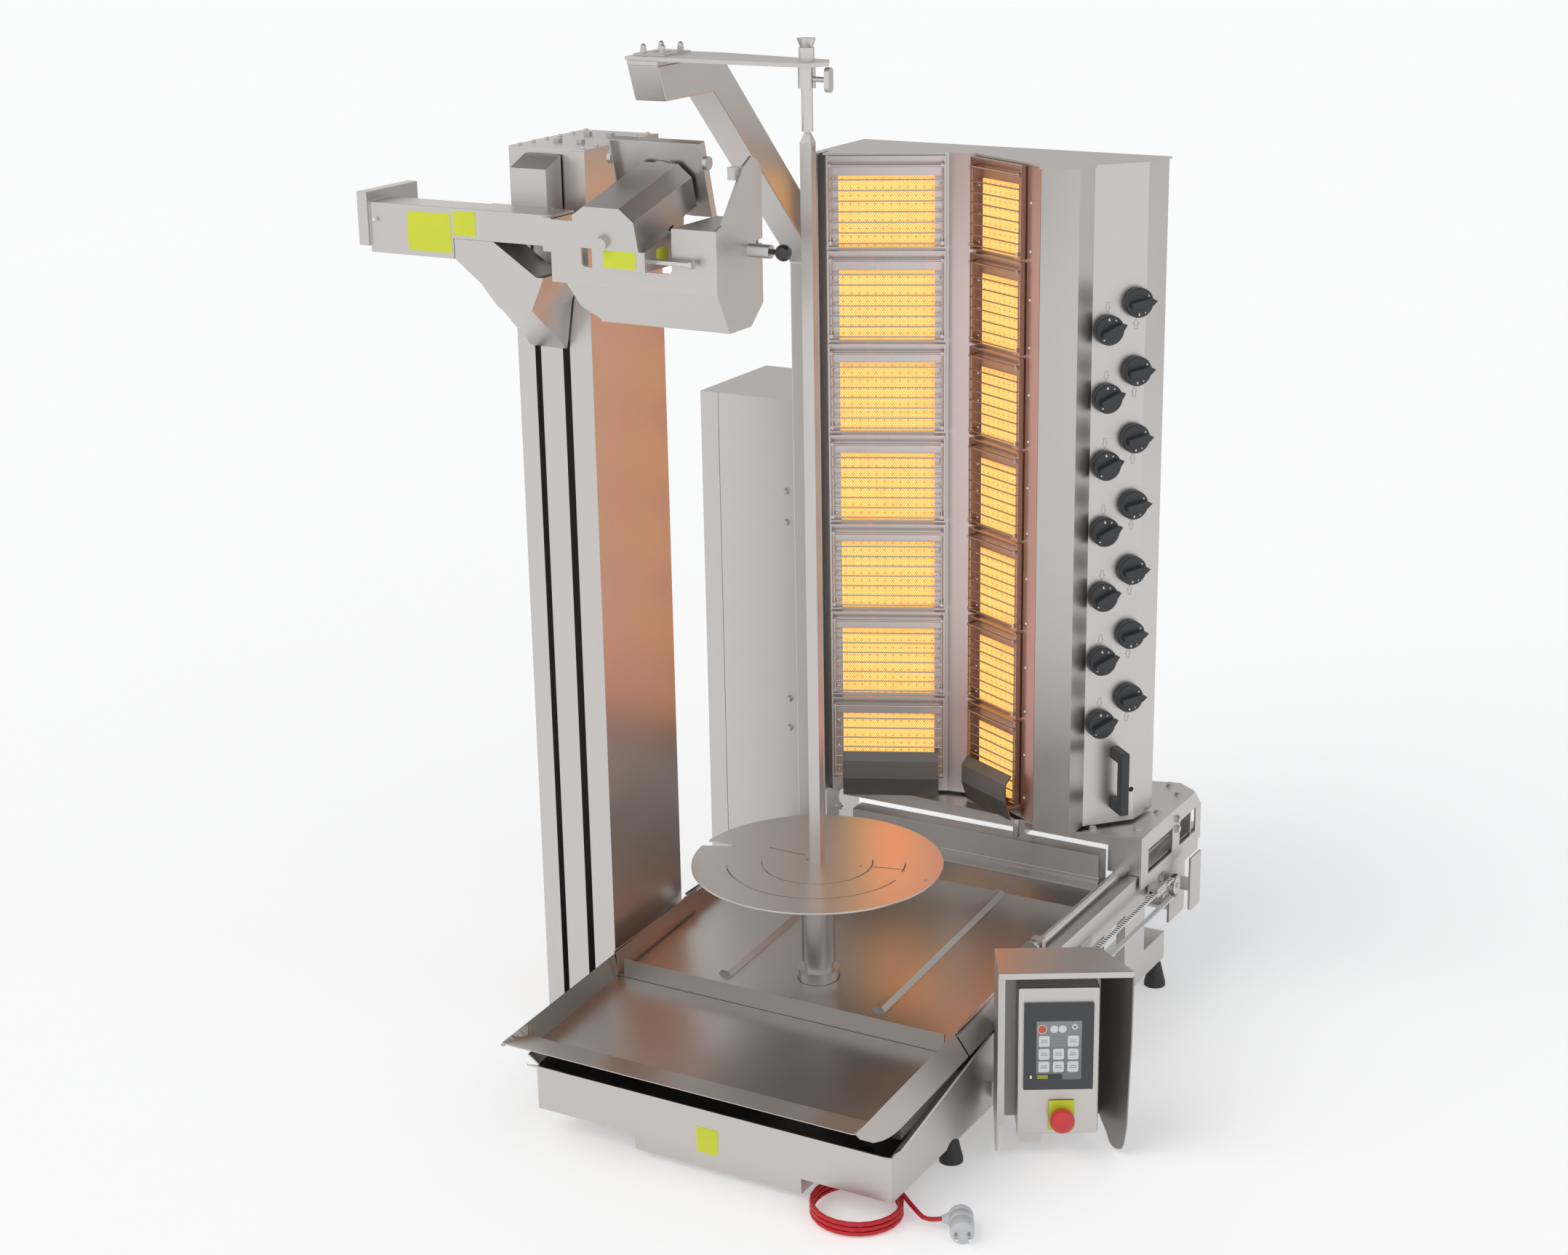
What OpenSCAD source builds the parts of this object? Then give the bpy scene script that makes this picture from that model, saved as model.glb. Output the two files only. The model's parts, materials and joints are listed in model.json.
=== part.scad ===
// Automatic doner kebab grill: a turning spit on a drip table, a V of gas burners on a sliding
// carriage, and a cutter head carried by a lifting column. Millimetres, the front faces -Y.
// Every piece is drawn from the spit axis at the floor, then from_spit_axis() moves it to the frame.

/* [Spit and turntable] */
// Radius of the turntable disc
disc_r = 200; // [170:1:230]
// Height of the top of the disc above the floor
disc_top = 395; // [380:1:420]
// Thickness of the disc
disc_t = 3; // [2:0.5:5]
// Width of the square spit bar
spit_w = 18; // [14:1:22]
// Height of the spit bar's shoulder above the floor
spit_top = 1527; // [1400:1:1560]
// Turn of the spit bar from the machine's axes
spit_turn = 7; // [0:1:45]
// Diameter of the tube that carries the disc
drive_tube_d = 55; // [48:1:60]
// Diameter of the drive shaft under that tube
drive_shaft_d = 47; // [36:1:47]

/* [Base] */
// Width of the base
base_w = 626; // [600:1:640]
// Distance from the spit to the front of the base
base_front = 348; // [340:1:380]
// Distance from the spit to the back of the base
base_back = 430; // [425:1:434]
// Height of the feet under the base
foot_h = 46; // [40:1:60]
// Sheet thickness of the base, the table and the pan
sheet_t = 2; // [1.5:0.5:3]
// Slope of the drip table and the pan in degrees
table_slope = 3.9; // [2:0.1:5]
// Height of the table surface at the spit
table_h = 197; // [190:1:200]
// Depth of the meat pan from its lip to its floor
pan_depth = 38; // [25:1:45]

/* [Neck] */
// Width of the square neck tube
neck_w = 54; // [50:1:54]
// Height of the top of the neck tube
neck_top = 1632; // [1600:1:1650]
// Distance from the spit to the back of the upright neck
neck_back = 489; // [470:1:500]
// Thickness of the top plate
top_plate_t = 6; // [5:1:10]

/* [Burners] */
// Height of the burner housing
housing_h = 1110; // [1080:1:1120]
// Rows of burners
burner_rows = 7; // [4:1:7]
// Height of one row
row_pitch = 155; // [148:1:156]
// Diameter of the gas knobs
knob_d = 48; // [36:1:52]

/* [Column and head] */
// Height of the lifting column
column_h = 1460; // [1380:1:1500]
// Width of the lifting column
column_w = 139; // [125:1:139]
// Depth of the lifting column
column_deep = 205; // [180:1:230]
// Height of the arm's underside with the lift at the top
arm_z = 1382; // [1370:1:1390]
// Height of the arm
arm_h = 46; // [40:1:50]
// Depth of the arm
arm_deep = 58; // [50:1:60]
// Length of the cutter housing
head_len = 175; // [150:1:185]
// Tilt of the cutter axis in degrees
head_tilt = 15; // [5:1:18]
// Diameter of the round blade
blade_d = 112; // [90:1:118]

/* [Control panel] */
// Width of the control box
panel_w = 124; // [110:1:140]
// Height of the control box
panel_h = 246; // [220:1:250]
// Turn of the control box towards the right
panel_turn = 30; // [20:1:40]
// Diameter of the stop button
stop_d = 38; // [30:1:42]

/* [Cord] */
// Diameter of the cord
cord_d = 7; // [6:0.5:8]
// Radius of the coil at the middle of the cord
coil_r = 67; // [55:1:75]
// Turns in the coil
coil_turns = 3; // [2:1:4]

/* [Hidden] */
$fn = 64;
cut = 1;
seat = 0.3;
running = 0.05;
loose = 0.5;
part_gap = 1;

// Ends of the machine, measured from the spit axis
arm_left = 679;
rail_back = 740;
pan_front = 443;

// An extrusion of a Y-Z outline along X, of an X-Z outline along Y, and of an X-Y outline along Z
module along_x(x0, x1) translate([x0, 0, 0]) rotate([90, 0, 90]) linear_extrude(x1 - x0) children();
module along_y(y0, y1) translate([0, y1, 0]) rotate([90, 0, 0]) linear_extrude(y1 - y0) children();
module along_z(z0, z1) translate([0, 0, z0]) linear_extrude(z1 - z0) children();
// A box between two corners
module block(a, b) translate(a) cube(b - a);
// Cylinders along an axis from a start point
module rod_x(p, len, d) translate(p) rotate([0, 90, 0]) cylinder(h = len, d = d);
module rod_y(p, len, d) translate(p) rotate([-90, 0, 0]) cylinder(h = len, d = d);
module rod_z(p, len, d) translate(p) cylinder(h = len, d = d);

// A sheet folded along a path: its outline has the thickness t on the left of the path
function unit(v) = v / norm(v);
function left_of(v) = [-v.y, v.x];
function mitre(a, b, c, t) = let(n1 = left_of(unit(b - a)), n2 = left_of(unit(c - b)), m = unit(n1 + n2))
    b + m * t / (m * n1);
function sheet(path, t) = let(n = len(path) - 1) concat(path,
    [path[n] + left_of(unit(path[n] - path[n - 1])) * t],
    [for (i = [n - 1:-1:1]) mitre(path[i - 1], path[i], path[i + 1], t)],
    [path[0] + left_of(unit(path[1] - path[0])) * t]);

steel = "silver";
dark_steel = "dimgray";
black = [0.1, 0.1, 0.11];

// Base: a tray of folded sheet with a raised rim, open at the front for the pan
base_x = base_w / 2;
base_fold_z = 117;
rim_out = 15;
rim_front = 375;
rim_front_z = 132;
rim_back_z = 223;
rim_back_y = 125;
rim_top_z = 228;
base_wall_t = 3;
table_x = 310;
table_front = -127;
table_back = 425;
table_tan = tan(table_slope);
function table_z(y) = table_h + table_tan * y;

module base_frame() {
    side = [[-base_front, foot_h], [base_back, foot_h], [base_back, rim_top_z - rim_out], [rim_back_y, rim_back_z - rim_out],
        [-base_front, rim_front_z - rim_out]];
    notch_y = -149;
    notch_r = 26;
    notch_h = 8;
    rim_slope = atan2(rim_back_z - rim_front_z, rim_back_y + rim_front);
    rim_len = norm([rim_back_z - rim_front_z, rim_back_y + rim_front]);
    runner_h = 40;
    runner_w = 16;
    color(steel) difference() {
        union() {
            block([-base_x, -base_front, foot_h], [base_x, base_back, foot_h + base_wall_t]);
            for (s = [-1, 1])
                along_x(s > 0 ? base_x - base_wall_t : -base_x, s > 0 ? base_x : -base_x + base_wall_t) polygon(side);
            // Front panel, folded outwards at its top edge
            along_x(-base_x, base_x)
                polygon(sheet([[-base_front, foot_h], [-base_front, base_fold_z], [-rim_front, rim_front_z]], -base_wall_t));
            block([-base_x, base_back - base_wall_t, foot_h], [base_x, base_back, table_z(table_back) - sheet_t * 2]);
            // Sloping rims along both sides
            for (s = [0, 1]) mirror([s, 0, 0]) translate([0, -rim_front, rim_front_z]) rotate([rim_slope, 0, 0])
                along_y(rim_front - base_front, rim_len)
                polygon(sheet([[base_x - base_wall_t, -rim_out - base_wall_t * 2], [base_x - base_wall_t, -rim_out], [base_x + rim_out, 0]], -base_wall_t));
            for (s = [0, 1]) mirror([s, 0, 0]) along_y(rim_back_y, base_back)
                polygon(sheet([[base_x - base_wall_t, rim_top_z - rim_out * 2], [base_x - base_wall_t, rim_top_z - rim_out], [base_x + rim_out, rim_top_z]], -base_wall_t));
            // Runners that the pan slides on
            for (s = [0, 1]) mirror([s, 0, 0]) translate([0, pan_y0, pan_z(pan_y0) - pan_depth - seat]) rotate([table_slope, 0, 0])
                block([base_x - base_wall_t - runner_w * 2, -pan_y0 - base_front + runner_w * 2, -runner_h],
                    [base_x - base_wall_t, -pan_y0 + table_front - sheet_t - part_gap * 2, 0]);
        }
        // Hand cut-outs in the lower edges of the sides
        for (s = [-1, 1]) rod_x([s * base_x - runner_w, notch_y, foot_h - notch_r + notch_h], runner_w * 2 - base_wall_t * 4, notch_r * 2);
        // Hole for the cord's gland
        rod_z([inlet_x, inlet_y, foot_h - cut], base_wall_t + cut * 2, gland_d + seat);
    }
}

// Feet: rubber cones under the base, the back and the column
foot_r = 18.6;
foot_top_r = 9;
foot_in = 17;
foot_y = [-118, 380];
back_foot_x = [-296, 335];
back_foot_y = 610;
column_foot_x = [-446, -363];
column_foot_y = [-50, 90];
foot_places = concat([for (x = [foot_in - base_x, base_x - foot_in], y = foot_y) [x, y]],
    [for (x = back_foot_x) [x, back_foot_y]], [for (x = column_foot_x, y = column_foot_y) [x, y]]);
foot_rim = 6;
module base_feet() color(black) for (p = foot_places) translate([p.x, p.y, 0]) {
    cylinder(h = foot_rim, r = foot_r);
    translate([0, 0, foot_rim]) cylinder(h = foot_h - foot_rim, r1 = foot_r, r2 = foot_top_r);
}

// Housing of the electrics under the base
box_x0 = -140;
box_x1 = 155;
box_front = -338;
box_back = 120;
box_low = 14;
module under_box() color(steel) block([box_x0, box_front, box_low], [box_x1, box_back, foot_h]);

// Drip table: a sloping sheet with two raised ribs, side rims and a divider in front
rib_x = 140;
rib_w = 12;
rib_h = 8;
rib_front = -60;
rib_back = 380;
divider_x = 289;
divider_top = 217;
divider_low = 176;
shaft_hole_d = 69;
table_fold_y = 385;
table_fold_h = 14;
module meat_table() color(steel) difference() {
    union() {
        along_x(-table_x, table_x) polygon(sheet([[table_front - sheet_t, table_z(table_front - sheet_t)],
            [table_fold_y, table_z(table_fold_y)], [table_back, table_z(table_back) + table_fold_h]], -sheet_t));
        // Side rims with a shoulder at the base's own rim
        for (s = [0, 1]) mirror([s, 0, 0])
            along_x(table_x - sheet_t, table_x) polygon([[table_front, table_z(table_front) - sheet_t],
                [table_back, table_z(table_back)], [table_back, rim_top_z + table_fold_h], [table_front, rim_top_z - sheet_t]]);
        // Divider plate between the table and the pan
        along_y(table_front - sheet_t, table_front) polygon([[-divider_x, divider_low], [divider_x, divider_low],
            [divider_x, divider_top], [-divider_x, divider_top]]);
        for (s = [-1, 1]) translate([s * rib_x, 0, table_h]) rotate([table_slope, 0, 0])
            along_y(rib_front, rib_back) polygon([[-rib_w, 0], [rib_w, 0], [rib_w / 2, rib_h], [-rib_w / 2, rib_h]]);
    }
    rod_z([0, 0, table_h - table_h / 4], table_h / 2, shaft_hole_d);
    // Drain notch at the left end of the divider
    block([-divider_x - cut, table_front - sheet_t - cut, divider_low - cut], [-divider_x + rib_w * 2, table_front + cut, table_z(table_front) - sheet_t * 2]);
}

// Frame behind the base: cross beams, uprights and the side plate that carries the rail
rear_y0 = 438;
rear_y1 = 471;
rear_beam_z0 = 257;
rear_beam_z1 = 300;
rear_beam_x0 = -173;
rear_beam_x1 = 296;
rail_inner = 330;
rail_outer = 358;
rail_z0 = 214;
rail_z1 = 264;
sill_z0 = 50;
sill_z1 = 100;
sill_x = 318;
cover_w = 16;
cover_front = 441;
cover_edge = 107;
cover_tip = 492;
cover_low = 54;
cover_back = 527;
post_w = 33;
module rear_frame() color(steel) {
    cover = [[cover_front, rail_z0], [cover_front, cover_edge], [cover_tip, cover_low], [cover_back, cover_low]];
    block([rear_beam_x0, rear_y0, rear_beam_z0], [rear_beam_x1, rear_y1, rear_beam_z1]);
    // Sill that the neck stands on, with its outriggers
    block([-sill_x, neck_back - neck_w, sill_z0], [sill_x, neck_back, sill_z1]);
    block([-sill_x, neck_back, sill_z0], [-sill_x + post_w * 2, neck_back + post_w * 4, sill_z1]);
    block([sill_x - post_w, neck_back, sill_z0], [rail_inner + cover_w, neck_back + post_w * 4, sill_z1]);
    for (x = [rear_beam_x0, rear_beam_x1 - post_w])
        block([x, rear_y0, sill_z1], [x + post_w, rear_y1, rear_beam_z0]);
    // Tie between the base and the sill
    for (s = [-1, 1]) block([s * (sill_x - post_w) - post_w / 2, base_back, sill_z0],
        [s * (sill_x - post_w) + post_w / 2, neck_back - neck_w, sill_z1]);
    for (x = back_foot_x) rod_z([x, back_foot_y, foot_h], sill_z0 - foot_h, foot_top_r * 2);
    // Cover under the rail
    along_x(rail_inner, rail_inner + cover_w) polygon(sheet(cover, sheet_t));
    along_x(rail_inner + cover_w - sheet_t, rail_inner + cover_w) polygon(concat(cover, [[cover_back, rail_z0]]));
}

// Bearing collar and gear motor under the table
collar_d = 67;
collar_z0 = 150;
collar_z1 = 214;
motor_w = 110;
motor_z0 = 62;
tube_low = 228;
module bearing_collar() color(steel) difference() {
    rod_z([0, 0, collar_z0], collar_z1 - collar_z0, collar_d);
    rod_z([0, 0, collar_z0 - cut], collar_z1 - collar_z0 + cut * 2, drive_shaft_d + running * 2);
}
shaft_low = 120;
module turntable_motor() color(dark_steel) difference() {
    union() {
        block([-motor_w / 2, -motor_w / 2, motor_z0], [motor_w / 2, motor_w / 2, collar_z0]);
        rod_z([motor_w, 0, motor_z0 + motor_w / 8], (collar_z0 - motor_z0) * 3 / 4, motor_w * 2 / 3);
        block([motor_w / 2, -motor_w / 5, motor_z0 + motor_w / 5], [motor_w, motor_w / 5, motor_z0 + motor_w / 2]);
        block([-motor_w / 2, -motor_w / 2, foot_h + base_wall_t], [motor_w / 2, motor_w / 2, motor_z0]);
    }
    rod_z([0, 0, shaft_low - cut], collar_z0, drive_shaft_d + running * 2);
}

// Drive tube with the shaft that turns in the collar, and a square socket for the spit
socket_deep = 60;
socket_play = 0.2;
module drive_tube() color(steel) difference() {
    union() {
        rod_z([0, 0, tube_low], disc_top - disc_t - tube_low, drive_tube_d);
        rod_z([0, 0, shaft_low], tube_low - shaft_low, drive_shaft_d);
    }
    rotate([0, 0, spit_turn]) translate([0, 0, disc_top - socket_deep / 2])
        cube([spit_w + socket_play, spit_w + socket_play, socket_deep], center = true);
}

// Turntable disc with its curved slots, a rim notch and pin holes
slot_w = 2.5;
// Shares of the disc's radius: arcs as radius, start and end angle; holes as place and diameter
arc_slot_shares = [[0.44, -157, 35], [0.72, -149, -3], [0.7, 11, 27]];
radial_slot_shares = [0.43, 0.695, 15];
straight_slot_shares = [-0.485, 0.075, 0.33];
disc_notch_shares = [[-1.01, -0.01], [-0.77, -0.005], [-0.77, -0.035], [-1.01, -0.135]];
disc_hole_shares = [[0.345, 0.085, 0.025], [0.925, 0.07, 0.03], [-0.095, 0.01, 0.02], [-0.755, -0.02, 0.025]];
module turntable_disc() color(steel) difference() {
    rod_z([0, 0, disc_top - disc_t], disc_t, disc_r * 2);
    translate([0, 0, disc_top - disc_t - cut]) {
        for (a = arc_slot_shares) rotate([0, 0, a[1]]) rotate_extrude(angle = a[2] - a[1])
            translate([disc_r * a[0] - slot_w / 2, 0]) square([slot_w, disc_t + cut * 2]);
        rotate([0, 0, radial_slot_shares[2]]) translate([disc_r * radial_slot_shares[0], -slot_w / 2, 0])
            cube([disc_r * (radial_slot_shares[1] - radial_slot_shares[0]), slot_w, disc_t + cut * 2]);
        translate([disc_r * straight_slot_shares[0], disc_r * straight_slot_shares[1], 0])
            cube([disc_r * straight_slot_shares[2], slot_w, disc_t + cut * 2]);
        linear_extrude(disc_t + cut * 2) polygon(disc_r * disc_notch_shares);
        for (h = disc_hole_shares) translate([disc_r * h[0], disc_r * h[1], 0]) cylinder(h = disc_t + cut * 2, d = disc_r * h[2]);
        rotate([0, 0, spit_turn]) translate([0, 0, disc_t]) cube([spit_w + socket_play, spit_w + socket_play, disc_t * 4], center = true);
    }
}

// Square spit with a pyramid shoulder and a round journal that the centre pin holds
journal_d = 8;
journal_top = 1556;
spit_shoulder = 14;
spit_hole_d = 7;
module spit() color(steel) difference() {
    rotate([0, 0, spit_turn]) {
        translate([-spit_w / 2, -spit_w / 2, disc_top - socket_deep + seat]) cube([spit_w, spit_w, spit_top - disc_top + socket_deep - seat]);
        intersection() {
            along_x(-spit_w, spit_w) polygon([[-spit_w / 2, spit_top], [spit_w / 2, spit_top], [journal_d / 2, spit_top + spit_shoulder], [-journal_d / 2, spit_top + spit_shoulder]]);
            along_y(-spit_w, spit_w) polygon([[-spit_w / 2, spit_top], [spit_w / 2, spit_top], [journal_d / 2, spit_top + spit_shoulder], [-journal_d / 2, spit_top + spit_shoulder]]);
        }
        rod_z([0, 0, spit_top + spit_shoulder], journal_top - spit_top - spit_shoulder, journal_d);
    }
    rotate([0, 0, spit_turn]) rod_x([-spit_w, 0, spit_top - spit_w / 2], spit_w * 2, spit_hole_d);
}

// Neck: a bent square tube beside the spit
neck_x1 = -228;
neck_x0 = neck_x1 - neck_w;
neck_tip_top = -42;
neck_tip_low = -22;
neck_bend = 141;
neck_inner = neck_w * tan(22.5);
neck_front = neck_back - neck_w;
neck_drop = neck_back - neck_bend;
module neck_post() color(steel) along_x(neck_x0, neck_x1) polygon([[neck_tip_top, neck_top], [neck_bend, neck_top],
    [neck_back, neck_top - neck_drop], [neck_back, sill_z1], [neck_front, sill_z1],
    [neck_front, neck_top - neck_drop - neck_inner], [neck_bend - neck_inner, neck_top - neck_w], [neck_tip_low, neck_top - neck_w]]);

// Top arm: a mounting block, the plate out to the spit axis and a pad with four cap nuts
top_block_h = 6;
top_block_back = 62;
top_z0 = neck_top + top_block_h;
top_z1 = top_z0 + top_plate_t;
pad_t = 3;
pad_over = 6;
nut_dx = 34;
nut_dy = 50;
nut_d = 11;
nut_h = 9;
nut_mid = [neck_x0 + neck_w / 2, 14];
arm_plate_w = 328;
arm_plate_deep = 100;
arm_plate_y = -38;
arm_plate_shares = [[0, 0], [0, 0.98], [0.317, 1], [0.787, 0.72], [0.945, 0.66], [1, 0.32], [0.951, 0.04], [0.799, 0]];
bush_d = 20;
module top_arm() color(steel) difference() {
    union() {
        block([neck_x0, neck_tip_top + seat, neck_top], [neck_x1, top_block_back, top_z0]);
        along_z(top_z0, top_z1) polygon([for (s = arm_plate_shares)
            [neck_x0 - pad_over + arm_plate_w * s.x, arm_plate_y + arm_plate_deep * s.y]]);
        translate([nut_mid.x, nut_mid.y, top_z1]) {
            difference() {
                translate([-nut_dx / 2 - nut_d, -nut_dy / 2 - nut_d, 0]) cube([nut_dx + nut_d * 2, nut_dy + nut_d * 2, pad_t]);
                for (s = [-1, 1]) translate([s * nut_dx / 4 - nut_d / 4, -nut_dy / 4, -cut]) cube([nut_d / 2, nut_dy / 2, pad_t + cut * 2]);
            }
            for (x = [-1, 1], y = [-1, 1]) translate([x * nut_dx / 2, y * nut_dy / 2, pad_t]) {
                cylinder(h = nut_h * 2 / 3, d = nut_d, $fn = 6);
                cylinder(h = nut_h, d = nut_d * 0.8);
                translate([0, 0, nut_h]) sphere(d = nut_d * 0.8);
            }
        }
    }
    rod_z([0, 0, top_z0 - cut], top_plate_t + cut * 2, bush_d);
}

// Bearing bush in the top plate, the pin that slides in it, and the lever that clamps the pin
bush_top = 1663;
bush_low = 1605.5;
bush_upper_d = 23;
bush_lower_d = 26;
pin_d = 17;
pin_low = 1543;
pin_top = bush_top + seat;
pin_knob_h = 12.7;
pin_knob_low_d = 19;
pin_knob_d = 28;
lever_z = 1618;
lever_stem_d = 8;
lever_stem = 19;
lever_bar = [8, 14, 22];
module top_bearing() color(steel) difference() {
    union() {
        rod_z([0, 0, top_z1], bush_top - top_z1, bush_upper_d);
        rod_z([0, 0, top_z0], top_plate_t, bush_d);
        rod_z([0, 0, bush_low], top_z0 - bush_low, bush_lower_d);
    }
    rod_z([0, 0, bush_low - cut], bush_top - bush_low + cut * 2, pin_d + running * 2);
    rod_x([0, 0, lever_z], bush_lower_d, lever_stem_d + running * 2);
}
module centre_pin() color(steel) difference() {
    union() {
        rod_z([0, 0, pin_low], pin_top - pin_low, pin_d);
        translate([0, 0, pin_top]) cylinder(h = pin_knob_h, d1 = pin_knob_low_d, d2 = pin_knob_d);
    }
    rod_z([0, 0, pin_low - cut], journal_top - pin_low + part_gap + cut, journal_d + running * 2);
}
module lock_lever() color(steel) {
    rod_x([pin_d / 2 + loose, 0, lever_z], bush_lower_d / 2 + lever_stem - pin_d / 2 - loose, lever_stem_d);
    translate([bush_lower_d / 2 + lever_stem, -lever_bar.y / 2, lever_z - lever_bar.z / 2]) {
        cube([lever_bar.x, lever_bar.y, lever_bar.z]);
        for (z = [0, lever_bar.z]) translate([0, lever_bar.y / 2, z]) rotate([0, 90, 0]) cylinder(h = lever_bar.x, d = lever_bar.y);
    }
}

// Electrical cabinet behind the column: a deep box with a shallow door on its left
cab_x0 = -469;
cab_x1 = -285;
cab_seam = -433;
cab_y0 = 442;
cab_y1 = 670;
cab_z0 = 130;
cab_z1 = 1023;
hinge_pin_d = 6;
knuckle_d = 14;
knuckle_h = 40;
hinge_inset = 130;
door_gap = 0.6;
hinge_x = cab_seam - knuckle_d / 2;
hinge_y = cab_y1 + knuckle_d / 2 + part_gap;
bolt_shares_up = [0.819, 0.757, 0.395, 0.334];
strap_in = 8;
strap_low = 20;
strap_high = 70;
cab_bolt_in = 17;
cab_bolt_h = 5;
cab_bolt_d = 11;
function cab_bolt(i) = cab_z0 + (cab_z1 - cab_z0) * bolt_shares_up[i];
module cabinet_box() color(steel) {
    block([cab_seam, cab_y0, cab_z0], [cab_x1, cab_y1, cab_z1]);
    for (z = [cab_z0 + hinge_inset, cab_z1 - hinge_inset]) {
        rod_z([hinge_x, hinge_y, z], knuckle_h * 2, hinge_pin_d);
        rod_z([hinge_x, hinge_y, z], knuckle_h - part_gap / 2, knuckle_d);
        block([hinge_x, cab_y1, z], [cab_seam + knuckle_h, hinge_y + hinge_pin_d / 2, z + knuckle_h - part_gap / 2]);
    }
    // Bolts and straps that fix the box to the neck
    for (i = [0:3]) rod_y([cab_x1 - cab_bolt_in, cab_y0 - cab_bolt_h, cab_bolt(i)], cab_bolt_h, cab_bolt_d);
    for (i = [1, 3]) block([cab_x1, cab_y0 + strap_in, cab_bolt(i) - strap_low],
        [neck_x0, neck_back - strap_in, cab_bolt(i) + strap_high]);
}
lock_d = 22;
lock_h = 3;
module cabinet_door() color(steel) {
    block([cab_x0, cab_y0, cab_z0], [cab_seam - door_gap, cab_y1, cab_z1]);
    for (z = [cab_z0 + hinge_inset, cab_z1 - hinge_inset]) {
        difference() {
            union() {
                rod_z([hinge_x, hinge_y, z + knuckle_h], knuckle_h, knuckle_d);
                block([hinge_x - knuckle_h / 2, cab_y1, z + knuckle_h], [hinge_x, hinge_y + hinge_pin_d / 2, z + knuckle_h * 2]);
            }
            rod_z([hinge_x, hinge_y, z + knuckle_h - cut], knuckle_h + cut * 2, hinge_pin_d + running * 2);
        }
    }
    for (z = [cab_z0 + hinge_inset, cab_z1 - hinge_inset])
        rod_x([cab_x0 - lock_h, cab_y0 + lock_d * 2, z], lock_h, lock_d);
}

// Lifting column: a folded box with two slots in its front, its cap and the ties to the base
col_x0 = -474;
col_x1 = col_x0 + column_w;
col_y0 = -83;
col_y1 = col_y0 + column_deep;
col_z0 = foot_h;
col_z1 = col_z0 + column_h;
col_wall = 3;
slot_l = [-442, -431];
slot_r = [-390, -377];
slot_low = 75;
slot_high = col_z1 - 16;
cap_t = 3;
corner_x = -363;
corner_t = 2;
tie_y = 0;
tie_w = 50;
tie_h = 24;
motor_seat_z = 66;
module column_shell() color(steel) {
    difference() {
        block([col_x0, col_y0, col_z0], [col_x1, col_y1, col_z1]);
        block([col_x0 + col_wall, col_y0 + col_wall, col_z0 + col_wall], [col_x1 - col_wall, col_y1 - col_wall, col_z1 + cut]);
        for (s = [slot_l, slot_r]) block([s[0], col_y0 - cut, slot_low], [s[1], col_y0 + col_wall + cut, slot_high]);
    }
    // Folded edge along the right corner
    block([corner_x, col_y0 - corner_t, col_z0], [col_x1, col_y0, col_z1]);
    // Ties to the base
    for (z = [foot_h + tie_h, foot_h + tie_h * 4]) block([col_x1, tie_y - tie_w / 2, z], [-base_x, tie_y + tie_w / 2, z + tie_h]);
    rod_z([screw_x, screw_y, col_z0 + col_wall], motor_seat_z - col_z0 - col_wall, screw_d * 2);
}
cap_screw_d = 7;
cap_screw_h = 3;
cap_screw_in = 12;
module column_cap() color(steel) {
    block([col_x0, col_y0, col_z1], [col_x1, col_y1, col_z1 + cap_t]);
    for (i = [0:5], x = [col_x0 + cap_screw_in, col_x1 - cap_screw_in])
        rod_z([x, col_y0 + cap_screw_in + i * (column_deep - cap_screw_in * 2) / 5, col_z1 + cap_t], cap_screw_h, cap_screw_d);
    for (x = [0.35, 0.65], y = [0.3, 0.7]) translate([col_x0 + column_w * x, col_y0 + column_deep * y, col_z1 + cap_t])
        rotate([0, 0, 45]) cylinder(h = cap_screw_h * 2, d = cap_screw_d * 2, $fn = 4);
}

// Lift screw inside the column
screw_x = -410;
screw_y = 30;
screw_d = 20;
screw_top = col_z1 - 20;
module lift_screw() color(dark_steel) rod_z([screw_x, screw_y, motor_seat_z + seat], screw_top - motor_seat_z - seat, screw_d);

// Lift carriage: nut block inside, webs through the slots, outer cover, arm seat and the lower bracket
nut_x0 = -456;
nut_x1 = -360;
nut_y1 = 60;
nut_z0 = 1290;
nut_z1 = 1420;
web_gap = 1.5;
cover_x0 = slot_l[0];
cover_x1 = slot_r[1];
cover_y = -127;
cover_top = 1500;
cover_bevel = 17;
col_gap = 3;
cover_z0 = arm_z - 14;
arm_y1 = -137;
arm_y0 = arm_y1 - arm_deep;
seat_x0 = -475;
seat_x1 = -365;
brace_w = 45;
bracket_top = 1334;
bracket_low = 1204;
bracket_front_low = 1284;
bracket_x0 = -460;
bracket_w = 118;
bracket_shares = [[0, 0.908], [0.119, 1], [1, 1], [0.788, 0.577], [0.686, 0], [0.119, 0], [0.305, 0.592]];
brace_shares = [[0.356, 0.654], [0.788, 0.654], [0.89, 1], [0.254, 1.369]];
function bracket_at(s) = [bracket_x0 + bracket_w * s.x, bracket_low + (bracket_top - bracket_low) * s.y];
bracket_t = 6;
arm_slope_x = -503;
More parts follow.
